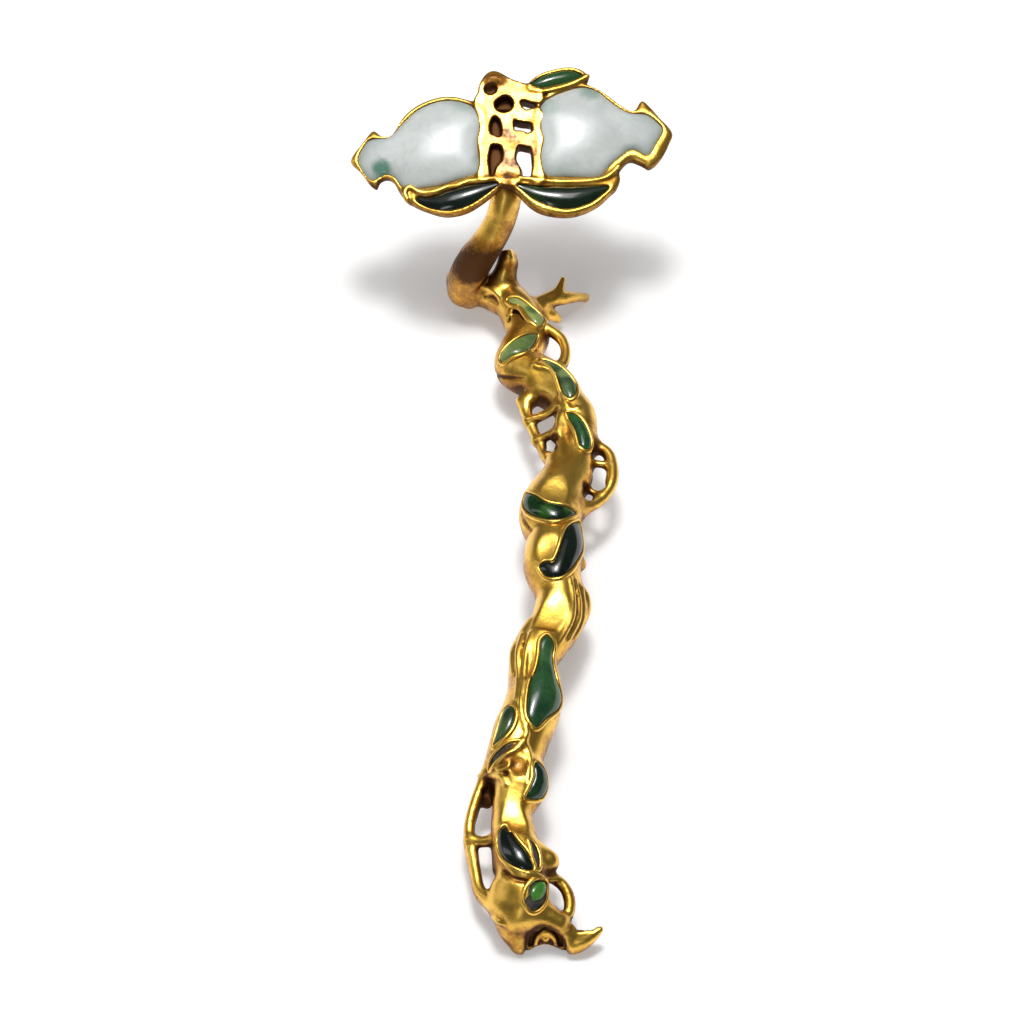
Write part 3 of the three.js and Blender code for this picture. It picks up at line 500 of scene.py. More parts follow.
# Grooves and hollows cut into the skin, in the same way.
GROOVES = {
    "hollow under leaf 1": [
        [-2, 103.4, 20.5, 1.0], [-1, 106, 21.4, 1.5], [1.4, 106.8, 22.6, 1.8], [4, 104.8, 23.6, 1.6],
        [5, 101.2, 23.4, 1.0],
    ],
    "under the knob's fold": [[-9.4, 118.6, 16.4, 0.6], [-7, 116.8, 17.4, 0.9], [-5, 113.8, 17.8, 0.6]],
    "seam of the bulge": [
        [-6, 81, 14.5, 0.35], [-2.7, 78.2, 17.2, 0.5], [1.2, 74.6, 20, 0.55], [6, 71.6, 22.6, 0.4],
    ],
    "crack of the collar": [[3, 6.5, 24.5, 0.4], [3.6, 0.5, 26, 0.7], [6.4, -7.2, 28.4, 0.5]],
    "between right ridges 1": [
        [22.3, -31.5, 29, 0.35], [23.3, -39, 27.4, 0.5], [22.1, -47, 26.6, 0.5], [18.4, -56, 26.4, 0.35],
    ],
    "between right ridges 2": [
        [24.2, -31.5, 26.4, 0.35], [25.6, -38.5, 24.6, 0.5], [24.6, -45.5, 23.8, 0.5],
        [20.8, -53.5, 23.6, 0.35],
    ],
    "between left ridges 1": [
        [5.2, -57, 29.8, 0.35], [3.7, -66, 29.8, 0.5], [3.1, -77, 30, 0.5], [2.2, -88, 30, 0.4],
    ],
    "between left ridges 2": [[2.4, -56, 26.4, 0.35], [1.3, -64, 27.3, 0.5], [1.2, -73, 27.8, 0.4]],
    "pit of the nugget": [[-3, -115.4, 25.6, 0.9], [-1.6, -115.6, 26, 0.9]],
    "under leaf 9's tail": [
        [-2.5, -154, 21.4, 0.7], [1.5, -157.6, 21.6, 1.0], [6.5, -158.8, 21, 0.9], [11, -157.6, 18.2, 0.8],
    ],
    "behind the claw": [[21.5, -167, 10, 1.0], [25, -168.8, 8.4, 1.6], [28, -168, 8.8, 1.0]],
    "handle's hollow": [[-9.6, -116, 15, 1.6], [-7, -117.5, 18.5, 1.8], [-6.4, -122, 18.5, 1.3]],
}

# Flats pressed into the skin: [x, y, z], the way each faces, the radius of its curve, its depth.
FLATS = [
    [[11.9, 68.2, 25.4], [-0.3, -0.3, 0.9], 24, 0.8],
    [[18, 13.5, 32.5], [0, -0.1, 1], 30, 0.5],
    [[12, -16, 33], [-0.15, -0.2, 0.97], 24, 0.7],
    [[15, -40, 32], [-0.03, -0.2, 0.97], 45, 0.6],
    [[5.5, -63, 31], [-0.25, -0.2, 0.95], 40, 0.4],
    [[2.4, -112.4, 28], [-0.05, -0.2, 0.97], 8, 1.5],
    [[0.8, -128, 25.5], [0, -0.2, 0.98], 30, 0.5],
]

# The ridge over the arch in the foot's front: [x, y, z, radius].
HOOF_BROW = [
    [-4.2, -164.6, 11.4, 1.2], [0.4, -167, 12.6, 1.5], [4.8, -168.2, 12.2, 1.7],
    [11.8, -168.8, 12.4, 1.6], [17, -170.6, 9.6, 1.6], [21, -171.6, 7.6, 1.3],
]
# The arch: the middle of its foot, its half width, its height for that, how deep it is cut, how
# far its face leans back and rises, its rings [half width, height for that, wire, how far out]
# and its nub (height, radius).
HOOF_ARCH = {
    "foot": (11.9, -172.4, 1.1), "half": 6.3, "tall": 1.56, "deep": 0.8, "back": 0.4, "up": 0.917,
    "rings": [[7.2, 1.46, 0.9, 0.2], [3.7, 1.7, 0.95, -0.2]], "nub": (3.4, 1.7),
}

# Holes through the net and the side loop: [x, y, radius, how much lies along Y].
HOLES = [
    [10.4, 58.2, 2.5, 1.3], [13.7, 47.4, 1.95, 1.8], [14.8, 36.8, 2.0, 2.4],
    [32.7, 32.7, 1.7, 1.3], [32.9, 23.5, 2.3, 3.0], [28.7, 14.8, 1.4, 1.5],
]

# Darker spots on the gold, partly grime and partly painted shade, such as on the neck under the head
# and low on the sides of the stem, and lighter gold where the amount is negative: [x, y, z, radius, amount].
GRIME_AND_SHADE = [
    [-14.4, 122.3, 34.7, 13, 0.75], [-8.6, 123.5, 35.2, 11, 0.55], [-19.5, 123.9, 30.5, 10, 0.5],
    [-21, 124, 24, 9, 0.25], [1.2, 127.2, 25.1, 6, 0.5], [9, 68, 16.6, 7, 0.4], [2, 74, 19, 6, 0.5],
    [-3, 78, 17, 5, 0.4], [27.8, 46.7, 25, 6, 0.45], [30.4, 38, 22, 7, 0.45], [22, 41, 27, 4, 0.5],
    [-4.3, -109.1, 25.8, 7, 0.5], [2, -111, 28, 7, 0.4], [3, 104, 23, 4, 0.7], [3, 97, 22, 6, 0.35],
    [1, -115, 27.5, 5, 0.25], [-9, -114, 18, 6, 0.6], [16, -101, 20, 8, 0.4], [25, -170, 9, 5, 0.6],
    [9, -154, 21, 6, 0.5], [20, -158, 11, 7, 0.5], [14, -151.5, 15, 5, 0.6], [19, -155, 12.5, 5, 0.6],
    [20.3, -160, 11, 4.5, 0.5], [24, 8, 30, 5, 0.3], [-6.5, -128, 16, 6, 0.4], [-6.5, -142, 15, 6, 0.4],
    [-12, 123, 20, 7, -0.5], [-6, 122, 21, 6, -0.5], [12, 68, 26, 6, -0.35], [19, 13, 33, 7, -0.4],
    [12, -16, 33, 7, -0.4], [16, -38, 32, 9, -0.4], [8, -64, 31, 7, -0.2], [1, -126, 26, 7, -0.3],
]
# The same on the head, where the spots deep in the knot's hollows are painted shade: [a, b, h, radius,
# amount].
HEAD_GRIME_AND_SHADE = [
    [-8.4, 27.8, -1, 5, 0.55], [-5.5, 7, -4.5, 7, 0.8], [-5.5, -5, -4.5, 7, 0.8], [-3, 18, -4, 4.6, 0.9],
    [6, 7, -4.5, 5, 0.6], [6, 17, -4.5, 5, 0.6], [4, -7, -4.5, 7, 0.7], [-8.8, 23.5, -3.4, 3.4, 0.9],
    [-1.4, -14, -1.5, 3.6, 0.9], [-1.4, -17.5, -2, 3.6, 0.9], [50, -11, -3, 7, 0.6], [-52, -15, -3, 6, 0.5],
    [53, 20, -3, 6, 0.35], [28, 33, -3, 6, 0.5], [-56, 6, -3, 6, 0.4],
]

# ------------------------------------------------------------------ lines

def curve_through(points, per_span, closed=False):
    """The uniform Catmull-Rom curve through the points, all their columns alike.

    Between two points it is the cubic whose slope at each end is half the step from that
    end's other neighbour; past an open end the last step is repeated.
    """
    points = np.asarray(points, float)
    if closed:
        padded = np.vstack([points[-1:], points, points[:2]])
    else:
        padded = np.vstack([2 * points[:1] - points[1:2], points, 2 * points[-1:] - points[-2:-1]])
    before, start, end, after = (padded[i:len(padded) - 3 + i, None] for i in range(4))
    t = (np.arange(per_span) / per_span)[None, :, None]
    curve = 0.5 * (
        2 * start + (end - before) * t + (2 * before - 5 * start + 4 * end - after) * t**2
        + (3 * start - before - 3 * end + after) * t**3
    )
    curve = curve.reshape(-1, points.shape[1])
    return curve if closed else np.vstack([curve, points[-1:]])


def spaced(path, shares):
    """Points of a polyline at the given shares of its length."""
    steps = np.linalg.norm(np.diff(path[:, :3], axis=0), axis=1)
    along = np.concatenate([[0], np.cumsum(steps)])
    return np.stack([np.interp(shares * along[-1], along, column) for column in path.T], 1)


def unit(vectors):
    """Vectors of length 1 along the given ones."""
    return vectors / np.maximum(np.linalg.norm(vectors, axis=-1, keepdims=True), 1e-9)


def turned(side):
    """The head's turn: a lobe falls away from the middle, then the whole face leans."""
    lean, fall = HEAD_TILT, side * LOBE_TILT
    about_x = np.array([[1, 0, 0], [0, math.cos(lean), -math.sin(lean)], [0, math.sin(lean), math.cos(lean)]])
    about_y = np.array([[math.cos(fall), 0, math.sin(fall)], [0, 1, 0], [-math.sin(fall), 0, math.cos(fall)]])
    return about_x @ about_y


def on_head(points, side=None):
    """Points [a, b, h, ...] of the head moved onto the sceptre; the rest of a row stays."""
    points = np.array(points, float)
    sides = np.sign(points[..., 0]) if side is None else np.full(points.shape[:-1], side)
    for each in np.unique(sides):
        chosen = sides == each
        points[chosen, :3] = points[chosen, :3] @ turned(each).T + HEAD_CENTRE
    return points


# ------------------------------------------------------------------ a field of distances

def smooth_least(a, b, blend):
    """The lesser of two distances, rounded off where they differ by less than the blend."""
    near = np.maximum(blend - np.abs(a - b), 0) / blend
    return np.minimum(a, b) - near * near * blend / 4


class Field:
    """Distances to a solid, negative inside it, at the nodes of a box grid."""

    def __init__(self, low, high, step):
        self.low, self.step = np.array(low, float), step
        self.shape = np.ceil((np.array(high) - self.low) / step).astype(int) + 1
        self.values = np.full(self.shape, FAR, np.float32)
        self.rim_lines = None

    def window(self, low, high):
        """The part of the grid inside a box: its slices and its three open axes."""
        first = np.clip(np.floor((np.array(low) - self.low) / self.step).astype(int), 0, self.shape)
        last = np.clip(np.ceil((np.array(high) - self.low) / self.step).astype(int) + 1, 0, self.shape)
        place = tuple(map(slice, first, np.maximum(first, last)))
        return place, self.axes(place)

    def axes(self, place):
        """The coordinates of a window's nodes, as three open axes."""
        return np.ix_(*(
            (self.low[i] + self.step * np.arange(place[i].start, place[i].stop)).astype(np.float32)
            for i in range(3)
        ))

    def limb(self, stations):
        """The window round a limb and, in it, the distance to the limb.

        The distance to one stretch is the distance to its line less the radius there.
        """
        path = curve_through(stations, 6)
        reach = path[:, 3].max() + REACH
        place, _ = self.window(path[:, :3].min(0) - reach, path[:, :3].max(0) + reach)
        base = np.array([part.start for part in place])
        found = np.full([part.stop - part.start for part in place], FAR, np.float32)
        for start, end in zip(path[:-1], path[1:]):
            low, high = np.minimum(start, end)[:3], np.maximum(start, end)[:3]
            near = max(start[3], end[3]) + REACH
            part, (px, py, pz) = self.window(low - near, high + near)
            if min(px.size, py.size, pz.size) == 0:
                continue
            local = tuple(slice(p.start - b, p.stop - b) for p, b in zip(part, base))
            run = (end - start)[:3].astype(np.float32)
            px, py, pz = px - start[0], py - start[1], pz - start[2]
            share = np.clip((px * run[0] + py * run[1] + pz * run[2]) / float(run @ run), 0, 1)
            away = np.sqrt((px - share * run[0])**2 + (py - share * run[1])**2 + (pz - share * run[2])**2)
            distance = away - (start[3] + share * (end[3] - start[3])).astype(np.float32)
            found[local] = np.minimum(found[local], distance)
        return place, found

    def add(self, place, distance, blend):
        """Joins another solid on, given by its distances in a window."""
        self.values[place] = smooth_least(self.values[place], distance, blend)

    def cut(self, place, distance, blend):
        """Takes another solid away, given in the same way."""
        self.values[place] = -smooth_least(-self.values[place], distance, blend)

    def add_limb(self, stations, blend=2.0):
        self.add(*self.limb(stations), blend)

    def cut_limb(self, stations, blend=0.8):
        self.cut(*self.limb(stations), blend)

    def sample(self, points, values=None):
        """Values at any points, linear between the eight nodes round each."""
        values = self.values if values is None else values
        place = (np.asarray(points, float) - self.low) / self.step
        place = np.clip(place, 0, self.shape - 1.001)
        first = place.astype(int)
        fx, fy, fz = (place - first).T
        i, j, k = first.T
        total = 0
        for dx, wx in ((0, 1 - fx), (1, fx)):
            for dy, wy in ((0, 1 - fy), (1, fy)):
                for dz, wz in ((0, 1 - fz), (1, fz)):
                    total = total + wx * wy * wz * values[i + dx, j + dy, k + dz]
        return total

    def slope(self, points, reach=None):
        """The field's gradient by central differences."""
        reach = reach or self.step
        slopes = []
        for axis in range(3):
            offset = np.zeros(3)
            offset[axis] = reach
            slopes.append((self.sample(points + offset) - self.sample(points - offset)) / (2 * reach))
        return np.stack(slopes, -1)

    def landed(self, points, rounds=4, longest=1.5):
        """Points moved along the slope onto the skin, and the way out there."""
        points = np.array(points, float)
        for _ in range(rounds):
            slope = self.slope(points)
            steep = np.maximum((slope**2).sum(-1, keepdims=True), 0.05)
            move = self.sample(points)[..., None] * slope / steep
            length = np.linalg.norm(move, axis=-1, keepdims=True)
            points -= move * np.minimum(1, longest / np.maximum(length, 1e-9))
        return points, unit(self.slope(points, 2 * self.step))

    def softened(self, rounds):
        """The field averaged with its neighbours along each axis, a number of times."""
        soft = np.clip(self.values, -REACH, REACH)
        for _ in range(rounds):
            for axis in range(3):
                padded = np.concatenate([soft.take([0], axis), soft, soft.take([-1], axis)], axis)
                count = soft.shape[axis]
                low, high = (padded.take(range(start, start + count), axis) for start in (0, 2))
                soft = soft / 2 + (low + high) / 4
        return soft

    def skin(self):
        """The skin of the solid: vertices and quads.

        Each cell that the zero level crosses gets one vertex, at the mean of the crossings on
        its twelve edges, and each grid edge that changes sign gets the quad of the four cells
        round it.
        """
        values, inside = self.values, self.values < 0
        cells = np.array(values.shape) - 1
        corner = lambda array, i, j, k: array[i:cells[0] + i, j:cells[1] + j, k:cells[2] + k]
        filled = sum(corner(inside, i, j, k).astype(np.int8) for i in (0, 1) for j in (0, 1) for k in (0, 1))
        active = np.argwhere((filled > 0) & (filled < 8))
        number = np.full(cells, -1)
        number[tuple(active.T)] = np.arange(len(active))
        total, hits = np.zeros((len(active), 3)), np.zeros(len(active))
        for axis in range(3):
            others = [other for other in range(3) if other != axis]
            for first in (0, 1):
                for second in (0, 1):
                    offset = np.zeros(3, int)
                    offset[others[0]], offset[others[1]] = first, second
                    start = active + offset
                    end = start.copy()
                    end[:, axis] += 1
                    near, far = values[tuple(start.T)], values[tuple(end.T)]
                    crossed = (near < 0) != (far < 0)
                    share = near[crossed] / (near[crossed] - far[crossed])
                    point = np.broadcast_to(offset, (len(share), 3)).astype(float)
                    point[:, axis] += share
                    total[crossed] += point
                    hits += crossed
        vertices = self.low + self.step * (active + total / hits[:, None])
        quads = []
        for axis in range(3):
            second, third = (axis + 1) % 3, (axis + 2) % 3
            size = list(values.shape)
            near = [slice(1, -1)] * 3
            far = [slice(1, -1)] * 3
            near[axis], far[axis] = slice(0, size[axis] - 1), slice(1, size[axis])
            start, end = inside[tuple(near)], inside[tuple(far)]
            for outward, flips in ((True, start & ~end), (False, ~start & end)):
                node = np.argwhere(flips)
                node[:, second] += 1
                node[:, third] += 1
                around = []
                for step_second, step_third in ((1, 1), (0, 1), (0, 0), (1, 0)):
                    cell = node.copy()
                    cell[:, second] -= step_second
                    cell[:, third] -= step_third
                    around.append(number[tuple(cell.T)])
                quad = np.stack(around, 1)
                quads.append(quad if outward else quad[:, ::-1])
        return vertices, np.vstack(quads)


def skin_noise(points, cell, seed):
    """A smooth noise from -1 to 1: random values on a lattice, eased between its nodes."""
    table = np.random.default_rng(seed).uniform(-1, 1, (32, 32, 32))
    place = points / cell
    first = np.floor(place).astype(int)
    x, y, z = (place - first).T
    x, y, z = (share * share * (3 - 2 * share) for share in (x, y, z))
    total = 0
    for i, wx in ((0, 1 - x), (1, x)):
        for j, wy in ((0, 1 - y), (1, y)):
            for k, wz in ((0, 1 - z), (1, z)):
                a, b, c = ((first + (i, j, k)) % 32).T
                total = total + wx * wy * wz * table[a, b, c]
    return total


# ------------------------------------------------------------------ meshes

def lay_mesh(name, vertices, faces, finish, values=None):
    """An object from vertices in mm on the stations, and its faces, moved into the frame."""
    mesh = bpy.data.meshes.new(name)
    faces = faces.tolist() if isinstance(faces, np.ndarray) else faces
    mesh.from_pydata(((vertices - (0, MIDDLE_Y, 0)) * MM).tolist(), [], faces)
    mesh.polygons.foreach_set("use_smooth", np.ones(len(mesh.polygons), bool))
    for key, data in (values or {}).items():
        layer = mesh.attributes.new(key, "FLOAT", "POINT")
        layer.data.foreach_set("value", np.asarray(data, np.float32))
    mesh.materials.append(finish)
    mesh.update()
    piece = bpy.data.objects.new(name, mesh)
    bpy.context.scene.collection.objects.link(piece)
    return piece


def loop_faces(rows, columns, start=0):
    """Quads of a grid of rows that each close round on themselves."""
    index = start + np.arange(rows * columns).reshape(rows, columns)
    beside = np.roll(index, -1, 1)
    return np.stack([index[:-1], beside[:-1], beside[1:], index[1:]], -1).reshape(-1, 4)


def wear_and_shade_values(field, vertices, normals):
    """How far each vertex lies in a recess, on a crest or on a flank, from 0 to 1.

    The softened field is below zero where metal stands round a vertex and above it on a
    crest; a covered vertex finds metal a few millimetres out along its normal. The flank value
    darkens sides and undersides, partly as patina and partly as painted shade. Spots of grime and
    painted shade add an amount that falls off smoothly to nothing at its radius, and so does the
    foot of each rim.
    """
    soft = field.sample(vertices, field.softened(10))
    covered = 0
    for reach, share in ((1.5, 0.3), (3.0, 0.4), (4.4, 0.3)):
        out = np.clip(field.sample(vertices + reach * normals), 0, reach)
        covered = covered + share * (1 - out / reach)
    recess = np.clip(covered * 1.25 + np.clip(-soft / 0.8, 0, 1) * 0.6 - 0.05, 0, 1)
    grime_and_shade = np.zeros(len(vertices))
    for x, y, z, radius, amount in [*GRIME_AND_SHADE, *on_head(HEAD_GRIME_AND_SHADE)]:
        away = np.sqrt(((vertices - (x, y, z)) ** 2).sum(1))
        grime_and_shade += amount * np.clip(1.3 - 1.3 * away / radius, 0, 1)
    foot = np.zeros(len(vertices))
    if field.rim_lines is not None:
        away = field.sample(vertices, field.rim_lines)
        foot = np.clip(1 - (away - RIM_HALF) / RIM_HALO, 0, 1)
    # The flank value darkens sides and undersides: partly patina, partly painted shade standing for dark
    # reflections.
    return {"recess": recess, "crest": np.clip(soft / 0.9, 0, 1), "grime_and_shade": grime_and_shade, "foot": foot,
            "flank": np.clip(0.85 - 1.1 * normals[:, 2], 0, 1)}


# ------------------------------------------------------------------ outlines on the head

class OutlineMap:
    """Signed distances to a closed outline of the head, negative inside it, on a flat grid."""

    def __init__(self, outline, pitch=0.4, margin=6.0):
        curve = curve_through(outline, 6, closed=True)
        self.low, self.pitch = curve.min(0) - margin, pitch
        counts = np.ceil((curve.max(0) + margin - self.low) / pitch).astype(int) + 1
        a = self.low[0] + pitch * np.arange(counts[0])[:, None]
        b = self.low[1] + pitch * np.arange(counts[1])[None, :]
        away = np.full(tuple(counts), FAR)
        inside = np.zeros(tuple(counts), bool)
        for (a0, b0), (a1, b1) in zip(curve, np.roll(curve, -1, 0)):
            run_a, run_b = a1 - a0, b1 - b0
            share = ((a - a0) * run_a + (b - b0) * run_b) / max(run_a**2 + run_b**2, 1e-9)
            share = np.clip(share, 0, 1)
            away = np.minimum(away, np.hypot(a - a0 - share * run_a, b - b0 - share * run_b))
            if b0 != b1:
                crossing = ((b0 > b) != (b1 > b)) & (a < a0 + (b - b0) / (b1 - b0) * run_a)
                inside ^= crossing
        self.values = np.where(inside, -away, away)

    def sample(self, a, b, values=None):
        """Values at any points, linear between the four nodes round each."""
        values = self.values if values is None else values
        place_a = np.clip((a - self.low[0]) / self.pitch, 0, values.shape[0] - 1.001)
        place_b = np.clip((b - self.low[1]) / self.pitch, 0, values.shape[1] - 1.001)
        i, j = place_a.astype(int), place_b.astype(int)
        u, v = place_a - i, place_b - j
        return (
            (1 - u) * ((1 - v) * values[i, j] + v * values[i, j + 1])
            + u * ((1 - v) * values[i + 1, j] + v * values[i + 1, j + 1])
        )

    def dome(self, rounds=900):
        """The height of a stretched skin blown up inside the outline, from 0 to 1.

        Its Laplacian is -1 inside and it is 0 on the edge; odd and even nodes are relaxed
        in turn, and the result's power of 0.62 steepens it at the edge.
        """
        inside = self.values < 0
        height = np.maximum(-self.values, 0) * 4
        i, j = np.indices(height.shape)
        for turn in range(rounds):
            mean = (
                np.roll(height, 1, 0) + np.roll(height, -1, 0)
                + np.roll(height, 1, 1) + np.roll(height, -1, 1) + self.pitch**2
            ) / 4
            chosen = inside & ((i + j) % 2 == turn % 2)
            height = np.where(chosen, height + 1.7 * (mean - height), height)
        return np.clip(height / height.max(), 0, 1) ** 0.62


# ------------------------------------------------------------------ the gilt branch

def stem_field(step):
    """The branch: its limbs joined with soft forks, its lopped end and hollows."""
    field = Field((-28, -180, -3), (46, 150, 70), step)
    for stations, blend in ((STEM, 2.0), (COLUMN, 1.6), (NECK, 3.0)):
        field.add_limb(stations, blend)
    for name, stations in LIMBS.items():
        if not name.endswith("bar"):
            grown(field, name, stations)
    place, distance = field.limb(LOPPED)
    x, y, z = field.axes(place)
    for point, normal in LOPPED_CUTS:
        normal = unit(np.array(normal))
        above = (x - point[0]) * normal[0] + (y - point[1]) * normal[1] + (z - point[2]) * normal[2]
        distance = -smooth_least(-distance, -above, 0.8)
    field.add(place, distance, 2.4)
    for x, y, radius, run in HOLES:
        for shift in (-run, run):
            heights = ((12, radius), (18, radius), (26, radius + 0.7))
            field.cut_limb([[x, y + shift, z, wide] for z, wide in heights], 1.2)
    for name, stations in LIMBS.items():
        if name.endswith("bar"):
            grown(field, name, stations)
    for centre, faces, radius, depth in FLATS:
        press_flat(field, centre, faces, radius, depth)
    hoof_arch(field)
    return field


def hoof_arch(field):
    """An arched pocket in the front of the foot with rings and a nub standing in it.

    The face leans back: q runs up it, p across it and w out of it. A ring of half width r and
    height t r is a wire round the level line r of the root of p^2 + (q/t)^2.
    """
    x0, y0, z0 = HOOF_ARCH["foot"]
    place, (x, y, z) = field.window((x0 - 14, y0 - 8, z0 - 6), (x0 + 14, y0 + 16, z0 + 18))
    back, up = HOOF_ARCH["back"], HOOF_ARCH["up"]
    p, q, w = x - x0, (y - y0) * back + (z - z0) * up, (z - z0) * back - (y - y0) * up
    span = lambda tall: np.sqrt(p * p + (q / tall) ** 2)
    inside = span(HOOF_ARCH["tall"]) - HOOF_ARCH["half"]
    field.add(place, np.maximum(np.maximum(inside - 2.5, w + 0.5), -w - 7).astype(np.float32), 1.6)
    field.cut(place, np.maximum(inside - 1.0, 0.7 - w).astype(np.float32), 2.2)
    field.cut(place, np.maximum(np.maximum(inside, -w - HOOF_ARCH["deep"]), 0.6 - q).astype(np.float32), 1.0)
    for half, tall, wire, out in HOOF_ARCH["rings"]:
        ring = np.sqrt((span(tall) - half) ** 2 + (w - out) ** 2) - wire
        field.add(place, np.maximum(ring, 0.5 - q).astype(np.float32), 0.8)
    height, size = HOOF_ARCH["nub"]
    nub = np.sqrt(p * p + (q - height) ** 2 + (w + 0.9) ** 2) - size
    field.add(place, nub.astype(np.float32), 0.5)
    notch = np.maximum(np.sqrt(p * p + (2.2 * (q + 2.2)) ** 2) - 5.2, -w - 6)
    field.cut(place, notch.astype(np.float32), 0.8)
    field.add_limb(np.array(HOOF_BROW, float), 1.6)


def grown(field, name, stations):
    """Adds a limb: webbed ones swell and flow together, and the handle stands on edge."""
    stations = np.array(stations, float)
    if name.startswith(("net", "side loop")):
        stations[:, 3] *= 1.2
        field.add_limb(stations, 1.4 if name.endswith("bar") else 3.0)
    elif name == "handle":
        stations[:, 3] *= 0.9
        field.add_limb(stations, 2.2)
        stations[:, 2] -= 2.6
        field.add_limb(stations, 2.2)
    else:
        field.add_limb(stations, 1.6 if "loop" in name or name.endswith("bar") else 2.2)


def carved(field):
    """The same branch with its grooves cut and its strands laid on; settings lie on the plain one."""
    worked = copy.copy(field)
    worked.values = field.values.copy()
    for stations in GROOVES.values():
        worked.cut_limb(on_skin(field, stations, 0.0), 0.7)
    for stations in STRANDS.values():
        worked.add_limb(on_skin(field, stations, -0.25), 0.8)
    return worked


def on_skin(field, stations, lift):
    """Stations moved onto the skin, and then out by a share of their radius."""
    stations = np.array(stations, float)
    landed, outward = field.landed(stations[:, :3])
    return np.hstack([landed + outward * (lift * stations[:, 3:]), stations[:, 3:]])


def press_flat(field, centre, faces, radius, depth):
    """Cuts away a large ball that dips to a depth under the skin."""
    centre, _ = field.landed(np.array([centre], float))
    ball = centre[0] + unit(np.array(faces, float)) * (radius - depth)
    reach = math.sqrt(2 * radius * (depth + 2)) + 2
    place, (x, y, z) = field.window(centre[0] - reach, centre[0] + reach)
    away = np.sqrt((x - ball[0]) ** 2 + (y - ball[1]) ** 2 + (z - ball[2]) ** 2) - radius
    x, y, z = x - centre[0, 0], y - centre[0, 1], z - centre[0, 2]
    away = np.maximum(away, np.sqrt(x * x + y * y + z * z) - reach + 2)
    field.cut(place, away.astype(np.float32), 0.7)


def from_rims(field):
    """The distance from each node of a field's grid to the nearest edge of a rimmed setting."""
    lines = Field(field.low, field.low + field.step * (field.shape - 1), field.step)
    for edges in rimmed_settings():
        for edge in edges:
            place, distance = lines.limb(np.hstack([np.array(edge, float), np.zeros((len(edge), 1))]))
            lines.values[place] = np.minimum(lines.values[place], distance)
    return lines.values


def grounded(field):
    """Cuts the field flat at the surface that the sceptre lies on."""
    z = field.low[2] + field.step * np.arange(field.shape[2])
    field.values = np.maximum(field.values, -z.astype(np.float32))


def knot_grime_and_shade(vertices):
    """Darkening of the head: a little grime everywhere, and painted shade growing with the depth inside the
    knot.
    """
    a, b, h = ((vertices - HEAD_CENTRE) @ turned(0)).T
    inside = (np.abs(a + 0.5) < 10.5) & (b > -14) & (b < 30)
    return 0.16 + inside * (0.38 + 0.5 * np.clip((-0.8 - h) / 3.5, 0, 1))


def metal_piece(name, field, finish, grime_and_shade=None):
    """The skin of a field as a gilt piece, its vertices moved onto the zero level."""
    vertices, quads = field.skin()
    normals = unit(field.slope(vertices))
    level = vertices[:, 2] < 1.2 * field.step
    for _ in range(2):
        shift = np.clip(field.sample(vertices), -0.3, 0.3)[:, None] * normals
        vertices = vertices - np.where(level[:, None] & (vertices[:, 2:] < 0.5 * field.step), 0, shift)
        normals = unit(field.slope(vertices))
    uneven = sum(height * skin_noise(vertices, cell, seed) for height, cell, seed in UNEVEN)
    vertices = vertices + (uneven * ~level)[:, None] * normals
    values = wear_and_shade_values(field, vertices, normals)
    # Adds a piece's own darkening, grime with painted shade, to the spots.
    if grime_and_shade is not None:
        values["grime_and_shade"] += grime_and_shade(vertices)
    piece = lay_mesh(name, vertices, quads, finish, values)
    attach(piece, "root")
    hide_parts("casting")
    return piece


# ------------------------------------------------------------------ the head's metal

def head_field(step):
    """The trays round the head's stones and the pierced knot between them.

    A tray's top falls from a crest beside its stone to its outline, its sides draw in a
    little downward, and the stone's pocket is cut out of it.
    """
    field = Field((-68, 112, 50), (68, 186, 84), step)
    x, y, z = np.meshgrid(*(axis.ravel() for axis in field.axes(tuple(slice(0, n) for n in field.shape))),
                          indexing="ij")
    nodes = np.stack([x, y, z], -1).reshape(-1, 3) - HEAD_CENTRE
    for side in (-1, 1):
        a, b, h = (nodes @ turned(side)).T
        near = (a * side > -14) & (np.abs(b) < 44) & (h > -12) & (h < 8)
        a, b, h = a[near], b[near], h[near]
        for shape in HEAD_STONES.values():
            if shape["side"] != side:
                continue
            from_tray = OutlineMap(shape["tray"]).sample(a, b)
            from_stone = OutlineMap(shape["stone"]).sample(a, b)
            out = np.clip(from_stone, 0, None)
            share = np.clip(out / np.maximum(out - from_tray, 0.4), 0, 1)
            top = 0.2 - RIM_FALL * np.clip((share - 0.4) / 0.6, 0, 1) ** 1.3
            over = (h - top) * 0.85
            beside = from_tray + 0.12 * np.clip(-h, 0, 9)
            body = -smooth_least(-over, -beside, 1.0)
            body = -smooth_least(-body, h + TRAY_DEPTH, 2.4)
            pocket = np.maximum(from_stone + 0.1, -(h + POCKET_DEPTH))
            body = -smooth_least(-body, pocket, 0.5)
            values = field.values.reshape(-1)
            values[near] = smooth_least(values[near], body.astype(np.float32), 0.9)
    knot_plate(field, nodes)
    field.add_limb(on_head(KNOT_DOME), 1.2)
    for strand in HEAD_STRANDS:
        field.add_limb(on_head(strand), 0.7)
    a, b, h = (nodes @ turned(0)).T
    for middle, size in KNOT_BACKS:
        offset = [np.abs(axis - at) - long / 2 + 1 for axis, at, long in zip((a, b, h), middle, size)]
        outside = np.sqrt(sum(np.maximum(each, 0) ** 2 for each in offset))
        back = outside + np.minimum(np.maximum.reduce(offset), 0) - 1
        field.values = smooth_least(field.values, back.reshape(field.shape).astype(np.float32), 1.2)
    return field


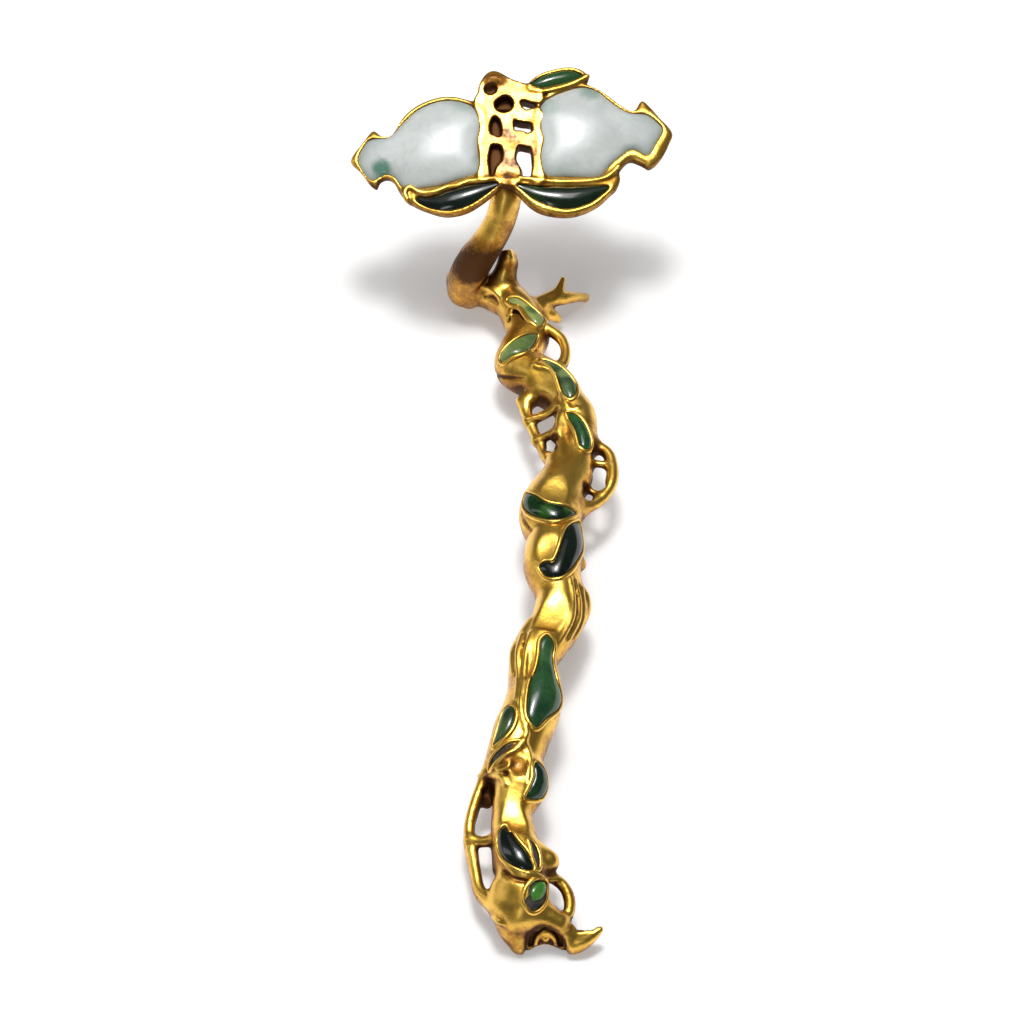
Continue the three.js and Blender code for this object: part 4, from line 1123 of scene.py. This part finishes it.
def knot_plate(field, nodes):
    """The knot between the fruits: bars and rings of a plate with a flat top and round edges.

    On the plate the distance is to the nearest bar's line, less the half width there, or to
    the circle of a ring.
    """
    a, b, h = (nodes @ turned(0)).T
    near = (np.abs(a + 1) < 17) & (b > -21) & (b < 36) & (h > -8) & (h < 4)
    a, b, h = a[near], b[near], h[near]
    flat = np.full(len(a), FAR)
    for bar in KNOT_BARS:
        path = curve_through(bar, 6)
        for (a0, b0, r0), (a1, b1, r1) in zip(path[:-1], path[1:]):
            run = np.hypot(a1 - a0, b1 - b0)
            share = np.clip(((a - a0) * (a1 - a0) + (b - b0) * (b1 - b0)) / run**2, 0, 1)
            away = np.hypot(a - a0 - share * (a1 - a0), b - b0 - share * (b1 - b0))
            flat = smooth_least(flat, away - r0 - share * (r1 - r0), 1.6)
    for a0, b0, radius, half in KNOT_RINGS:
        from_middle = np.hypot(a - a0, b - b0)
        flat = smooth_least(flat, from_middle - radius - half, 2.4)
        flat = -smooth_least(-flat, from_middle - radius + half, 0.8)
    body = -smooth_least(-flat, KNOT_TOP - h + 0.35 * np.clip(flat + 1.2, 0, 2), 1.3)
    body = -smooth_least(-body, h - KNOT_FOOT, 1.2)
    values = field.values.reshape(-1)
    values[near] = smooth_least(values[near], body.astype(np.float32), 1.4)


# ------------------------------------------------------------------ settings and stones of the stem

RIM_HALF = 1.3  # from a stone's edge to where grime gathers beside its rim, mm
RIM_HALO = 1.6  # how far the grime spreads from there, mm
RIM_PROFILE = [  # [out from the stone's edge, height over the skin], clockwise round the rim
    [-0.1, -0.6], [-0.05, 0.35], [0.2, 0.75], [0.65, 0.95],
    [1.2, 0.75], [1.65, 0.25], [1.95, -0.5], [0.9, -1.2],
]
RIM_RECESS = [1.0, 0.9, 0.2, 0.0, 0.0, 0.5, 0.9, 1.0]  # how sunk each of its points is


def rimmed_settings():
    """The two edges of every setting that has a rim; the last leaf stands inside a larger one."""
    stones = [edges for name, edges in STEM_STONES.items() if name != "stem_leaf_10"]
    return stones + list(EMPTY_SETTINGS.values())


def leaf_edges(edges, count=40):
    """A stone's two edges at the same shares of their lengths, closer together at the tips."""
    shares = (1 - np.cos(np.linspace(0, np.pi, count))) / 2
    return [spaced(curve_through(edge, 8), shares) for edge in edges]


def tube_faces(rows, columns):
    """Faces of rows that close round on themselves, with a cap at each end."""
    faces = loop_faces(rows, columns).tolist()
    faces.append(list(range(columns))[::-1])
    faces.append(list(range((rows - 1) * columns, rows * columns)))
    return faces


def laid_stone(name, edges, field, finish, dome=1.3, edge=0.1, seat=1.4, across=13):
    """A stone on the stem: across it the height is the root of 1 - v^2, from edge to edge.

    The dome falls off along the leaf with its width; the underside lies in its seat.
    """
    one, other = leaf_edges(edges)
    v = np.sin(np.linspace(-np.pi / 2, np.pi / 2, across))
    middle, half = (one + other) / 2, (other - one) / 2
    width = np.linalg.norm(half, axis=1)
    top = middle[:, None] + half[:, None] * v[:, None]
    landed, outward = field.landed(top.reshape(-1, 3))
    landed, outward = landed.reshape(top.shape), outward.reshape(top.shape)
    rise = edge + dome * (width / width.max())[:, None] ** 0.7 * np.sqrt(np.clip(1 - v * v, 0, 1))
    upper = landed + outward * rise[..., None]
    lower = landed[:, ::-1] - outward[:, ::-1] * seat
    points = np.concatenate([upper, lower], 1).reshape(-1, 3)
    # How near the edge each point lies, read by the finish as painted shade; the underside counts as edge.
    inward = np.broadcast_to(np.abs(v), top.shape[:2])
    rim = np.concatenate([inward, np.ones_like(inward)], 1).ravel()
    faces = facing_up(points, tube_faces(len(one), 2 * across), across)
    return lay_mesh(name, points, faces, finish, {"rim": rim})


def facing_up(points, faces, across):
    """Turns every face over if one in the middle of the upper side looks down."""
    corners = points[np.array(faces[len(faces) // (4 * across) * 2 * across + across // 2])]
    if np.cross(corners[1] - corners[0], corners[2] - corners[0])[2] < 0:
        return [face[::-1] for face in faces]
    return faces


def rim_rows(edges, field, profile):
    """A rim's profile carried round a stone's outline, each of its points set on the skin."""
    one, other = leaf_edges(edges)
    loop = np.vstack([one, other[::-1][1:]])
    length = np.linalg.norm(np.diff(loop, axis=0), axis=1).sum()
    count = max(24, int(length / 0.5))
    loop = spaced(loop, np.arange(count) / count)
    for _ in range(4):
        loop = loop / 2 + (np.roll(loop, 1, 0) + np.roll(loop, -1, 0)) / 4
    loop, outward = field.landed(loop)
    away = unit(np.cross(np.roll(loop, -1, 0) - np.roll(loop, 1, 0), outward))
    if (away * (loop - loop.mean(0))).sum() < 0:
        away = -away
    rows = []
    for out, height in profile:
        base, way = field.landed(loop + away * out)
        rows.append(base + way * height)
    return np.stack(rows, 1)


# ------------------------------------------------------------------ stones of the head

def head_stone(name, shape, finish):
    """A cabochon between the two halves of its outline, domed like a stretched skin."""
    outline = shape["stone"]
    curve = curve_through(outline, 8, closed=True)
    split = 8 * shape["tip"]
    first = np.hstack([curve[:split + 1], np.zeros((split + 1, 1))])
    second = np.hstack([np.vstack([curve[split:], curve[:1]])[::-1], np.zeros((len(curve) - split + 1, 1))])
    count, across = 96, 40
    shares = (1 - np.cos(np.linspace(0, np.pi, count))) / 2
    one, other = spaced(first, shares), spaced(second, shares)
    v = (1 - np.cos(np.linspace(0, np.pi, across))) / 2
    a, b = (one[:, None, i] + (other[:, None, i] - one[:, None, i]) * v for i in (0, 1))
    flat = OutlineMap(outline)
    height = STONE_EDGE + shape["dome"] * flat.sample(a, b, flat.dome())
    height[:, [0, -1]] = STONE_EDGE
    height[[0, -1]] = STONE_EDGE
    upper = np.stack([a, b, height], -1)
    lower = np.stack([a, b, np.full_like(a, STONE_FOOT)], -1)[:, ::-1]
    rows = np.concatenate([upper, lower], 1)
    points = rows.reshape(-1, 3) @ turned(shape["side"]).T + HEAD_CENTRE
    # How low on the dome each point lies, read by the finish as painted shade; the underside counts as edge.
    inward = np.clip(1 - (height - STONE_EDGE) / shape["dome"], 0, 1)
    rim = np.concatenate([inward, np.ones_like(inward)], 1).ravel()
    faces = facing_up(points, tube_faces(count, 2 * across), across)
    return lay_mesh(name, points, faces, finish, {"rim": rim})


# ------------------------------------------------------------------ finishes

class Value:
    """A number that varies over a surface; an expression on such values adds its Math nodes."""

    def __init__(self, finish, socket):
        self.finish, self.socket = finish, socket

    def math(self, operation, *others, clamp=False):
        return self.finish.add("ShaderNodeMath", {"operation": operation, "use_clamp": clamp},
                               {i: other for i, other in enumerate(others)})

    def __add__(self, other):
        return self.math("ADD", self, other)

    def __sub__(self, other):
        return self.math("SUBTRACT", self, other)

    def __rsub__(self, other):
        return self.math("SUBTRACT", other, self)

    def __mul__(self, other):
        return self.math("MULTIPLY", self, other)

    __radd__, __rmul__ = __add__, __mul__

    def clamped(self):
        """The number kept between 0 and 1."""
        return self.math("ADD", self, 0.0, clamp=True)

    def eased(self, low, high):
        """0 below low and 1 above high, with a soft step between them."""
        return self.finish.add("ShaderNodeMapRange", {"interpolation_type": "SMOOTHSTEP"},
                               {"Value": self, "From Min": low, "From Max": high})


class Finish:
    """A material and the one way of adding a node to it."""

    def __init__(self, name):
        self.material = bpy.data.materials.new(name)
        self.material.use_nodes = True
        self.tree = self.material.node_tree
        self.tree.nodes.clear()

    def add(self, kind, settings=None, inputs=None, output=0):
        """A node: its settings first, then the values or links of its sockets."""
        node = self.tree.nodes.new(kind)
        for key, value in (settings or {}).items():
            setattr(node, key, value)
        for key, value in (inputs or {}).items():
            if isinstance(value, Value):
                self.tree.links.new(value.socket, node.inputs[key])
            else:
                node.inputs[key].default_value = value
        return Value(self, node.outputs[output])

    def place(self):
        """The place of a point of the surface in its object's frame."""
        return self.add("ShaderNodeTexCoord", output="Object")

    def near(self, point, radius):
        """1 at a point, in mm on the stations, easing to 0 at a radius."""
        place = tuple((np.asarray(point, float) - (0, MIDDLE_Y, 0)) * MM)
        away = self.add("ShaderNodeVectorMath", {"operation": "DISTANCE"}, {0: self.place(), 1: place},
                        output="Value")
        return 1.0 - away.eased(0.0, radius * MM)

    def attribute(self, name):
        """A number that the mesh carries at each of its points."""
        return self.add("ShaderNodeAttribute", {"attribute_name": name}, output="Fac")

    def noise(self, scale, detail=3.0, roughness=0.55, distortion=0.0):
        """A cloudy number from 0 to 1, the finer the larger its scale."""
        return self.add("ShaderNodeTexNoise", {}, {
            "Vector": self.place(), "Scale": scale, "Detail": detail, "Roughness": roughness,
            "Distortion": distortion,
        })

    def mix(self, share, one, other):
        """One colour into the other; a colour is a link or three numbers."""
        node = {"data_type": "RGBA"}
        given = [value if isinstance(value, Value) else (*value, 1) for value in (one, other)]
        return self.add("ShaderNodeMix", node, {0: share, 6: given[0], 7: given[1]}, output=2)

    def bump(self, height, distance, strength=1.0):
        """A normal that leans as a surface of that height would, its distance in metres."""
        return self.add("ShaderNodeBump", {}, {"Height": height, "Distance": distance, "Strength": strength})

    def shaded(self, inputs):
        """The finished material, its shader set up with the given inputs."""
        shader = self.add("ShaderNodeBsdfPrincipled", {}, inputs)
        output = self.tree.nodes.new("ShaderNodeOutputMaterial")
        self.tree.links.new(shader.socket, output.inputs["Surface"])
        return self.material


def gilt_finish(colour, patina):
    """Polished gold on the crests, orange-brown patina in the recesses, and patina with painted shade on the
    flanks and at shaded spots.
    """
    made = Finish("gilt_bronze_worn_and_shaded")
    recess, crest, flank, grime_and_shade, foot = (
        made.attribute(name) for name in ("recess", "crest", "flank", "grime_and_shade", "foot")
    )
    cloud, speck = made.noise(120.0, 6.0, 0.65, 0.3), made.noise(800.0, 4.0)
    # Patina in the recesses and beside the rims, painted shade with some patina on the flanks and at shaded
    # spots, noise for tone, less on worn crests.
    dirt_and_shade = (recess * 1.15 + flank * 0.75 + grime_and_shade + foot * 0.4 + (cloud - 0.5) * 1.3 + (speck - 0.5) * 0.5
            - crest * 0.4)
    warm, brown = dirt_and_shade.eased(0.05, 0.6), dirt_and_shade.eased(0.45, 1.05)
    deep = tuple(part * share for part, share in zip(colour, (0.92, 0.84, 0.6)))
    gold = made.mix(made.noise(45.0, 3.0).eased(0.35, 0.7), tuple(colour), deep)
    tone = made.mix(warm, gold, (0.50, 0.225, 0.018))
    tone = made.mix(brown, tone, tuple(patina))
    normal = made.bump(speck * 0.5 + cloud * 0.5, 0.0005, 0.3)
    return made.shaded({
        "Base Color": tone, "Metallic": 1.0 - brown * 0.25,
        "Roughness": (0.34 + warm * 0.08 + brown * 0.16 + (speck - 0.5) * 0.12).clamped(), "Normal": normal,
        "Coat Weight": (1.0 - brown) * 0.3, "Coat Roughness": 0.22, "Coat IOR": 1.8,
    })


def bed_finish():
    """The dark, rough bed of a setting whose stone is lost."""
    made = Finish("setting_bed")
    grain = made.noise(900.0, 5.0, 0.7)
    tone = made.mix(made.noise(260.0, 3.0).eased(0.35, 0.65), (0.018, 0.016, 0.014), (0.075, 0.062, 0.048))
    return made.shaded({"Base Color": tone, "Roughness": (0.45 + grain * 0.4).clamped(),
                        "Normal": made.bump(grain, 0.0006, 0.8)})


def stone_finish(name, light, dark, roughness=0.15, cloud_size=90.0, spread=(0.35, 0.65), depth=0.15):
    """A polished hardstone: two clouded tones, painted shade darkening its edge and underside, and a clear
    gloss.
    """
    made = Finish(name)
    cloud = made.noise(cloud_size, 5.0, 0.6, 0.6)
    fine = made.noise(cloud_size * 7, 3.0)
    tone = made.mix((cloud * 0.8 + fine * 0.2).eased(*spread), tuple(dark), tuple(light))
    # Painted shade: the stone darkens towards its edge, where it meets the rim, and on its underside.
    tone = made.mix(made.attribute("rim").eased(0.75, 1.0) * 0.6, tone, tuple(0.35 * part for part in dark))
    return made, tone, {
        "Roughness": roughness + (fine - 0.5) * 0.06, "IOR": 1.62,
        "Subsurface Weight": depth, "Subsurface Scale": 0.0015, "Subsurface Radius": (1.0, 1.0, 1.0),
    }


# ------------------------------------------------------------------ sizes and colours to change

class SceptreMetal(bpy.types.PropertyGroup):
    """Sizes and colours of the casting."""

    colour: FloatVectorProperty(
        name="Gold", description="Colour of the polished gilding",
        default=(1.0, 0.62, 0.10), size=3, min=0, max=1, subtype="COLOR",
    )
    # This colour also fills the painted shade on the flanks and at the shaded spots.
    patina: FloatVectorProperty(
        name="Patina", description="Colour of the grime in the deepest recesses",
        default=(0.10, 0.036, 0.006), size=3, min=0, max=1, subtype="COLOR",
    )
    stem_step: FloatProperty(
        name="Stem fineness", description="Spacing of the points of the stem's skin",
        default=0.65 * MM, min=0.4 * MM, max=2 * MM, subtype="DISTANCE", unit="LENGTH", precision=5,
    )
    head_step: FloatProperty(
        name="Head fineness", description="Spacing of the points of the head's skin",
        default=0.5 * MM, min=0.3 * MM, max=2 * MM, subtype="DISTANCE", unit="LENGTH", precision=5,
    )


class SceptreStones(bpy.types.PropertyGroup):
    """Colours of the stones."""

    jadeite: FloatVectorProperty(
        name="Jadeite", description="Colour of the two fruits",
        default=(0.74, 0.78, 0.76), size=3, min=0, max=1, subtype="COLOR",
    )
    dome: FloatProperty(
        name="Stem stone dome", description="How far a stone of the stem rises at its middle",
        default=1.3 * MM, min=0.2 * MM, max=3 * MM, subtype="DISTANCE", unit="LENGTH", precision=5,
    )


class SceptreStage(bpy.types.PropertyGroup):
    """The camera and the lights."""

    elevation: FloatProperty(
        name="Camera elevation", description="Angle at which the camera looks down",
        default=math.radians(52), subtype="ANGLE", unit="ROTATION",
    )
    distance: FloatProperty(
        name="Camera distance", description="Distance from the camera to its target",
        default=1.6, min=0.5, subtype="DISTANCE", unit="LENGTH",
    )
    focal_length: FloatProperty(
        name="Focal length", description="Focal length on a 36 mm sensor", default=150, min=20, unit="CAMERA",
    )


# Tones of the stem's stones: light, dark.
STONE_TONES = {
    "stem_leaf_1": ((0.42, 0.47, 0.14), (0.20, 0.26, 0.08)),
    "stem_leaf_2": ((0.30, 0.40, 0.13), (0.10, 0.17, 0.05)),
    "stem_leaf_3": ((0.12, 0.19, 0.07), (0.035, 0.075, 0.03)),
    "stem_leaf_4": ((0.04, 0.17, 0.035), (0.008, 0.055, 0.02)),
    "stem_leaf_5": ((0.006, 0.045, 0.008), (0.003, 0.010, 0.006)),
    "stem_leaf_6": ((0.006, 0.016, 0.008), (0.003, 0.006, 0.004)),
    "stem_gourd": ((0.035, 0.12, 0.035), (0.012, 0.055, 0.022)),
    "stem_leaf_7": ((0.05, 0.10, 0.03), (0.02, 0.045, 0.015)),
    "stem_leaf_8": ((0.014, 0.06, 0.02), (0.005, 0.022, 0.010)),
    "stem_leaf_9": ((0.006, 0.016, 0.008), (0.003, 0.006, 0.004)),
    "stem_leaf_10": ((0.11, 0.38, 0.05), (0.05, 0.20, 0.025)),
    "head_leaf_left": ((0.007, 0.018, 0.012), (0.003, 0.007, 0.005)),
    "head_leaf_right": ((0.008, 0.024, 0.010), (0.003, 0.009, 0.005)),
    "head_leaf_top": ((0.03, 0.10, 0.03), (0.010, 0.045, 0.016)),
}
# Patches of another tone in a stone: its middle, radius, share and colour.
JADE_PATCHES = {
    "stem_leaf_1": [
        ((8, 105.4, 24), 4.5, 0.9, (0.05, 0.12, 0.03)), ((10.6, 100, 23), 4, 0.6, (0.22, 0.32, 0.12)),
    ],
    "stem_leaf_2": [
        ((1.5, 84, 26), 5, 0.6, (0.10, 0.18, 0.05)), ((-1.5, 82, 24), 3, 0.5, (0.45, 0.55, 0.30)),
    ],
    "stem_leaf_3": [
        ((20, 69, 28), 4, 0.8, (0.27, 0.36, 0.13)), ((12.5, 75.5, 27.5), 4, 0.6, (0.20, 0.27, 0.14)),
    ],
    "stem_leaf_5": [
        ((13, -2, 33), 5, 0.9, (0.03, 0.12, 0.008)), ((20, -1, 32), 3, 0.7, (0.05, 0.12, 0.01)),
    ],
    "stem_leaf_6": [((24.5, -4, 28), 5, 0.7, (0.02, 0.06, 0.012))],
    "stem_gourd": [
        ((13, -66, 30), 7, 0.5, (0.07, 0.19, 0.06)), ((13.5, -88, 26), 6, 0.4, (0.09, 0.20, 0.05)),
    ],
    "stem_leaf_7": [((-3, -98, 29), 6, 0.5, (0.10, 0.17, 0.05))],
    "head_leaf_right": [
        ((7, 128, 66), 9, 0.8, (0.02, 0.05, 0.012)), ((38, 136, 64), 9, 0.7, (0.02, 0.05, 0.012)),
    ],
}
# Each lamp: its place in metres, how bright its face is, its width and depth.
LAMPS = (
    ("key softbox", (0.0, 0.25, 1.35), 36.0, 0.26, 0.25),
    ("round the key", (0.0, 0.27, 1.36), 4.2, 0.8, 0.62),
    ("ceiling panel", (0.0, 0.5, 1.7), 0.35, 1.8, 1.6),
    ("front strip", (-0.35, -1.1, 0.75), 4.0, 0.12, 0.7),
    ("left strip", (-1.3, 0.2, 0.7), 1.5, 0.25, 1.2),
)
FLOOR_REACH = 40000.0  # from the middle of the floor to its edge, mm
FLOOR_DROP = 0.05  # how far it lies under the sceptre, mm
WORLD_GLOW = 0.08  # how bright the air round the stage is
TARGET = np.array([0, 0.0017, 0.024])  # where the camera and the lamps point, m

# What is made once and used by several operators.
made_once = {}


def metal_finish():
    """The one gilt finish of the casting and its rims."""
    if "gilt" not in made_once:
        metal = bpy.context.scene.sceptre_metal
        made_once["gilt"] = gilt_finish(metal.colour, metal.patina)
    return made_once["gilt"]


def branch():
    """The plain branch, on which the settings lie."""
    if "branch" not in made_once:
        step = bpy.context.scene.sceptre_metal.stem_step / MM
        made_once["branch"] = stem_field(step)
    return made_once["branch"]


def stone_piece(name, piece):
    """Puts a stone on the body in place of the frame's plain one."""
    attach(piece, "root")
    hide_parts(name)


def jade(name):
    """The finish of one jade, with its patches of another tone."""
    light, dark = STONE_TONES[name]
    made_finish, tone, inputs = stone_finish("jade_" + name, light, dark)
    for point, radius, share, colour in JADE_PATCHES.get(name, ()):
        ragged = made_finish.near(point, radius) + (made_finish.noise(260.0, 4.0, 0.6) - 0.5) * 0.6
        tone = made_finish.mix(ragged.eased(0.0, 0.85) * share, tone, colour)
    return made_finish.shaded({"Base Color": tone, **inputs})


class SCEPTRE_OT_branch(bpy.types.Operator):
    """Makes the gilt branch: neck, stem, loops, net, handle and foot"""

    bl_idname = "sceptre.branch"
    bl_label = "Gilt branch"

    def execute(self, context):
        field = carved(branch())
        grounded(field)
        field.rim_lines = from_rims(field)
        metal_piece("gilt_stem", field, metal_finish())
        return {"FINISHED"}


class SCEPTRE_OT_head(bpy.types.Operator):
    """Makes the head's trays and the pierced knot between them"""

    bl_idname = "sceptre.head"
    bl_label = "Head trays and knot"

    def execute(self, context):
        step = context.scene.sceptre_metal.head_step / MM
        metal_piece("gilt_head", head_field(step), metal_finish(), knot_grime_and_shade)
        return {"FINISHED"}


class SCEPTRE_OT_rims(bpy.types.Operator):
    """Makes the raised rims round the stem's settings"""

    bl_idname = "sceptre.rims"
    bl_label = "Setting rims"

    def execute(self, context):
        field = branch()
        vertices, faces, start = [], [], 0
        for spine in rimmed_settings():
            rows = rim_rows(spine, field, RIM_PROFILE)
            closed = np.vstack([rows, rows[:1]])
            vertices.append(rows.reshape(-1, 3))
            ring = loop_faces(len(closed), rows.shape[1])
            faces.append(start + ring % (len(rows) * rows.shape[1]))
            start += len(rows) * rows.shape[1]
        vertices, faces = np.vstack(vertices), np.vstack(faces)
        sunk = np.tile(RIM_RECESS, len(vertices) // len(RIM_RECESS))
        none = np.zeros(len(vertices))
        values = {"recess": sunk, "crest": 1 - sunk, "flank": none, "grime_and_shade": none, "foot": none}
        piece = lay_mesh("setting_rims", vertices, faces, metal_finish(), values)
        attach(piece, "root")
        bed = bed_finish()
        for name, edges in EMPTY_SETTINGS.items():
            residue = laid_stone(name + "_bed", edges, field, bed, dome=0.15, edge=0.05, seat=0.8)
            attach(residue, "root")
        return {"FINISHED"}


class SCEPTRE_OT_fruits(bpy.types.Operator):
    """Makes the two pale jadeite fruits of the head"""

    bl_idname = "sceptre.fruits"
    bl_label = "Jadeite fruits"

    def execute(self, context):
        light = tuple(context.scene.sceptre_stones.jadeite)
        for name in ("pomegranate_left", "pomegranate_right"):
            made_finish, tone, inputs = stone_finish(
                "jadeite_" + name, light, tuple(0.84 * part for part in light), 0.22, 60.0, depth=0.2,
            )
            # Painted shade: the fruit turns a darker grey-green towards its edge.
            rim = made_finish.attribute("rim").eased(0.45, 0.95)
            tone = made_finish.mix(rim * 0.7, tone, (0.30, 0.38, 0.34))
            wisps = made_finish.noise(130.0, 5.0, 0.65, 0.8).eased(0.5, 0.75)
            tone = made_finish.mix(wisps * 0.3, tone, (0.40, 0.47, 0.43))
            side = HEAD_STONES[name]["side"]
            for a, b, radius, share in GREEN_PATCHES[name]:
                patch = made_finish.near(on_head([[a, b, 1.5]], side)[0], radius)
                ragged = patch + (made_finish.noise(150.0, 6.0, 0.7, 0.5) - 0.5) * 1.3
                tone = made_finish.mix(ragged.eased(0.2, 0.95) * share, tone, FRUIT_GREEN)
            piece = head_stone(name, HEAD_STONES[name], made_finish.shaded({"Base Color": tone, **inputs}))
            stone_piece(name, piece)
        return {"FINISHED"}


class SCEPTRE_OT_head_leaves(bpy.types.Operator):
    """Makes the three jade leaves of the head"""

    bl_idname = "sceptre.head_leaves"
    bl_label = "Head leaves"

    def execute(self, context):
        for name in ("head_leaf_left", "head_leaf_right", "head_leaf_top"):
            piece = head_stone(name, HEAD_STONES[name], jade(name))
            stone_piece(name, piece)
        return {"FINISHED"}


class SCEPTRE_OT_stem_stones(bpy.types.Operator):
    """Makes the jade leaves and the gourd let into the stem"""

    bl_idname = "sceptre.stem_stones"
    bl_label = "Stem stones"

    def execute(self, context):
        dome = context.scene.sceptre_stones.dome / MM
        for name, spine in STEM_STONES.items():
            stone_piece(name, laid_stone(name, spine, branch(), jade(name), dome))
        return {"FINISHED"}


class SCEPTRE_OT_stage(bpy.types.Operator):
    """Lays the floor and sets the lights and the camera"""

    bl_idname = "sceptre.stage"
    bl_label = "Floor, lights and camera"

    def execute(self, context):
        stage = context.scene.sceptre_stage
        floor_finish = Finish("pale_floor")
        floor_material = floor_finish.shaded({
            "Base Color": (0.9, 0.9, 0.9, 1), "Roughness": 0.9, "Specular IOR Level": 0.0,
            "Emission Color": (1, 1, 1, 1), "Emission Strength": 0.3,
        })
        corners = FLOOR_REACH * np.array([[-1, -1, 0], [1, -1, 0], [1, 1, 0], [-1, 1, 0]])
        floor = lay_mesh("floor", corners - (0, 0, FLOOR_DROP), [[0, 1, 2, 3]], floor_material)
        floor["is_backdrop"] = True

        world = bpy.data.worlds.new("studio")
        context.scene.world = world
        world.use_nodes = True
        world.node_tree.nodes["Background"].inputs["Color"].default_value = (1.0, 1.0, 1.0, 1)
        world.node_tree.nodes["Background"].inputs["Strength"].default_value = WORLD_GLOW
        context.scene.view_settings.view_transform = "Standard"

        for name, place, glow, width, depth in LAMPS:
            lamp = bpy.data.lights.new(name, "AREA")
            lamp.shape, lamp.size, lamp.size_y = "RECTANGLE", width, depth
            lamp.energy = glow * math.pi * width * depth
            light = bpy.data.objects.new(name, lamp)
            light.location = place
            light.rotation_euler = aim(np.array(place), TARGET)
            context.scene.collection.objects.link(light)

        camera_data = bpy.data.cameras.new("camera")
        camera_data.lens, camera_data.sensor_width = stage.focal_length, 36
        camera_data.clip_start, camera_data.clip_end = 0.05, 100
        camera = bpy.data.objects.new("camera", camera_data)
        back = np.array([0, -math.cos(stage.elevation), math.sin(stage.elevation)])
        camera.location = TARGET + stage.distance * back
        camera.rotation_euler = (math.pi / 2 - stage.elevation, 0, 0)
        context.scene.collection.objects.link(camera)
        context.scene.camera = camera
        return {"FINISHED"}


def aim(place, target):
    """The turn that points a lamp's -Z from its place to its target."""
    x, y, z = target - place
    return math.pi / 2 + math.atan2(z, math.hypot(x, y)), 0, math.atan2(y, x) - math.pi / 2


class SCEPTRE_PT_panel(bpy.types.Panel):
    """Lists the sceptre's pieces and what can be changed on them"""

    bl_idname = "SCEPTRE_PT_panel"
    bl_label = "Jade-set Sceptre"
    bl_space_type = "VIEW_3D"
    bl_region_type = "UI"
    bl_category = "Sceptre"

    def draw(self, context):
        for group in (context.scene.sceptre_metal, context.scene.sceptre_stones, context.scene.sceptre_stage):
            box = self.layout.box()
            for key in group.bl_rna.properties.keys():
                if key not in ("rna_type", "name"):
                    box.prop(group, key)
        for operator in OPERATORS:
            self.layout.operator(operator.bl_idname)


GROUPS = {"sceptre_metal": SceptreMetal, "sceptre_stones": SceptreStones, "sceptre_stage": SceptreStage}
OPERATORS = (
    SCEPTRE_OT_branch, SCEPTRE_OT_head, SCEPTRE_OT_rims, SCEPTRE_OT_fruits, SCEPTRE_OT_head_leaves,
    SCEPTRE_OT_stem_stones, SCEPTRE_OT_stage,
)
CLASSES = (*GROUPS.values(), *OPERATORS, SCEPTRE_PT_panel)


def register():
    """Adds the groups, operators and panel to Blender."""
    for each in CLASSES:
        bpy.utils.register_class(each)
    for name, group in GROUPS.items():
        setattr(bpy.types.Scene, name, PointerProperty(type=group))


def unregister():
    """Takes them away again."""
    for name in GROUPS:
        delattr(bpy.types.Scene, name)
    for each in reversed(CLASSES):
        bpy.utils.unregister_class(each)


def main():
    """Makes every piece."""
    register()
    for operator in OPERATORS:
        group, name = operator.bl_idname.split(".")
        getattr(getattr(bpy.ops, group), name)()
    sizes = {"cad": [list(map(float, corner)) for corner in CAD_BOX],
             "visual": [list(map(float, corner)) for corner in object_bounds()]}


if __name__ == "__main__":
    main()
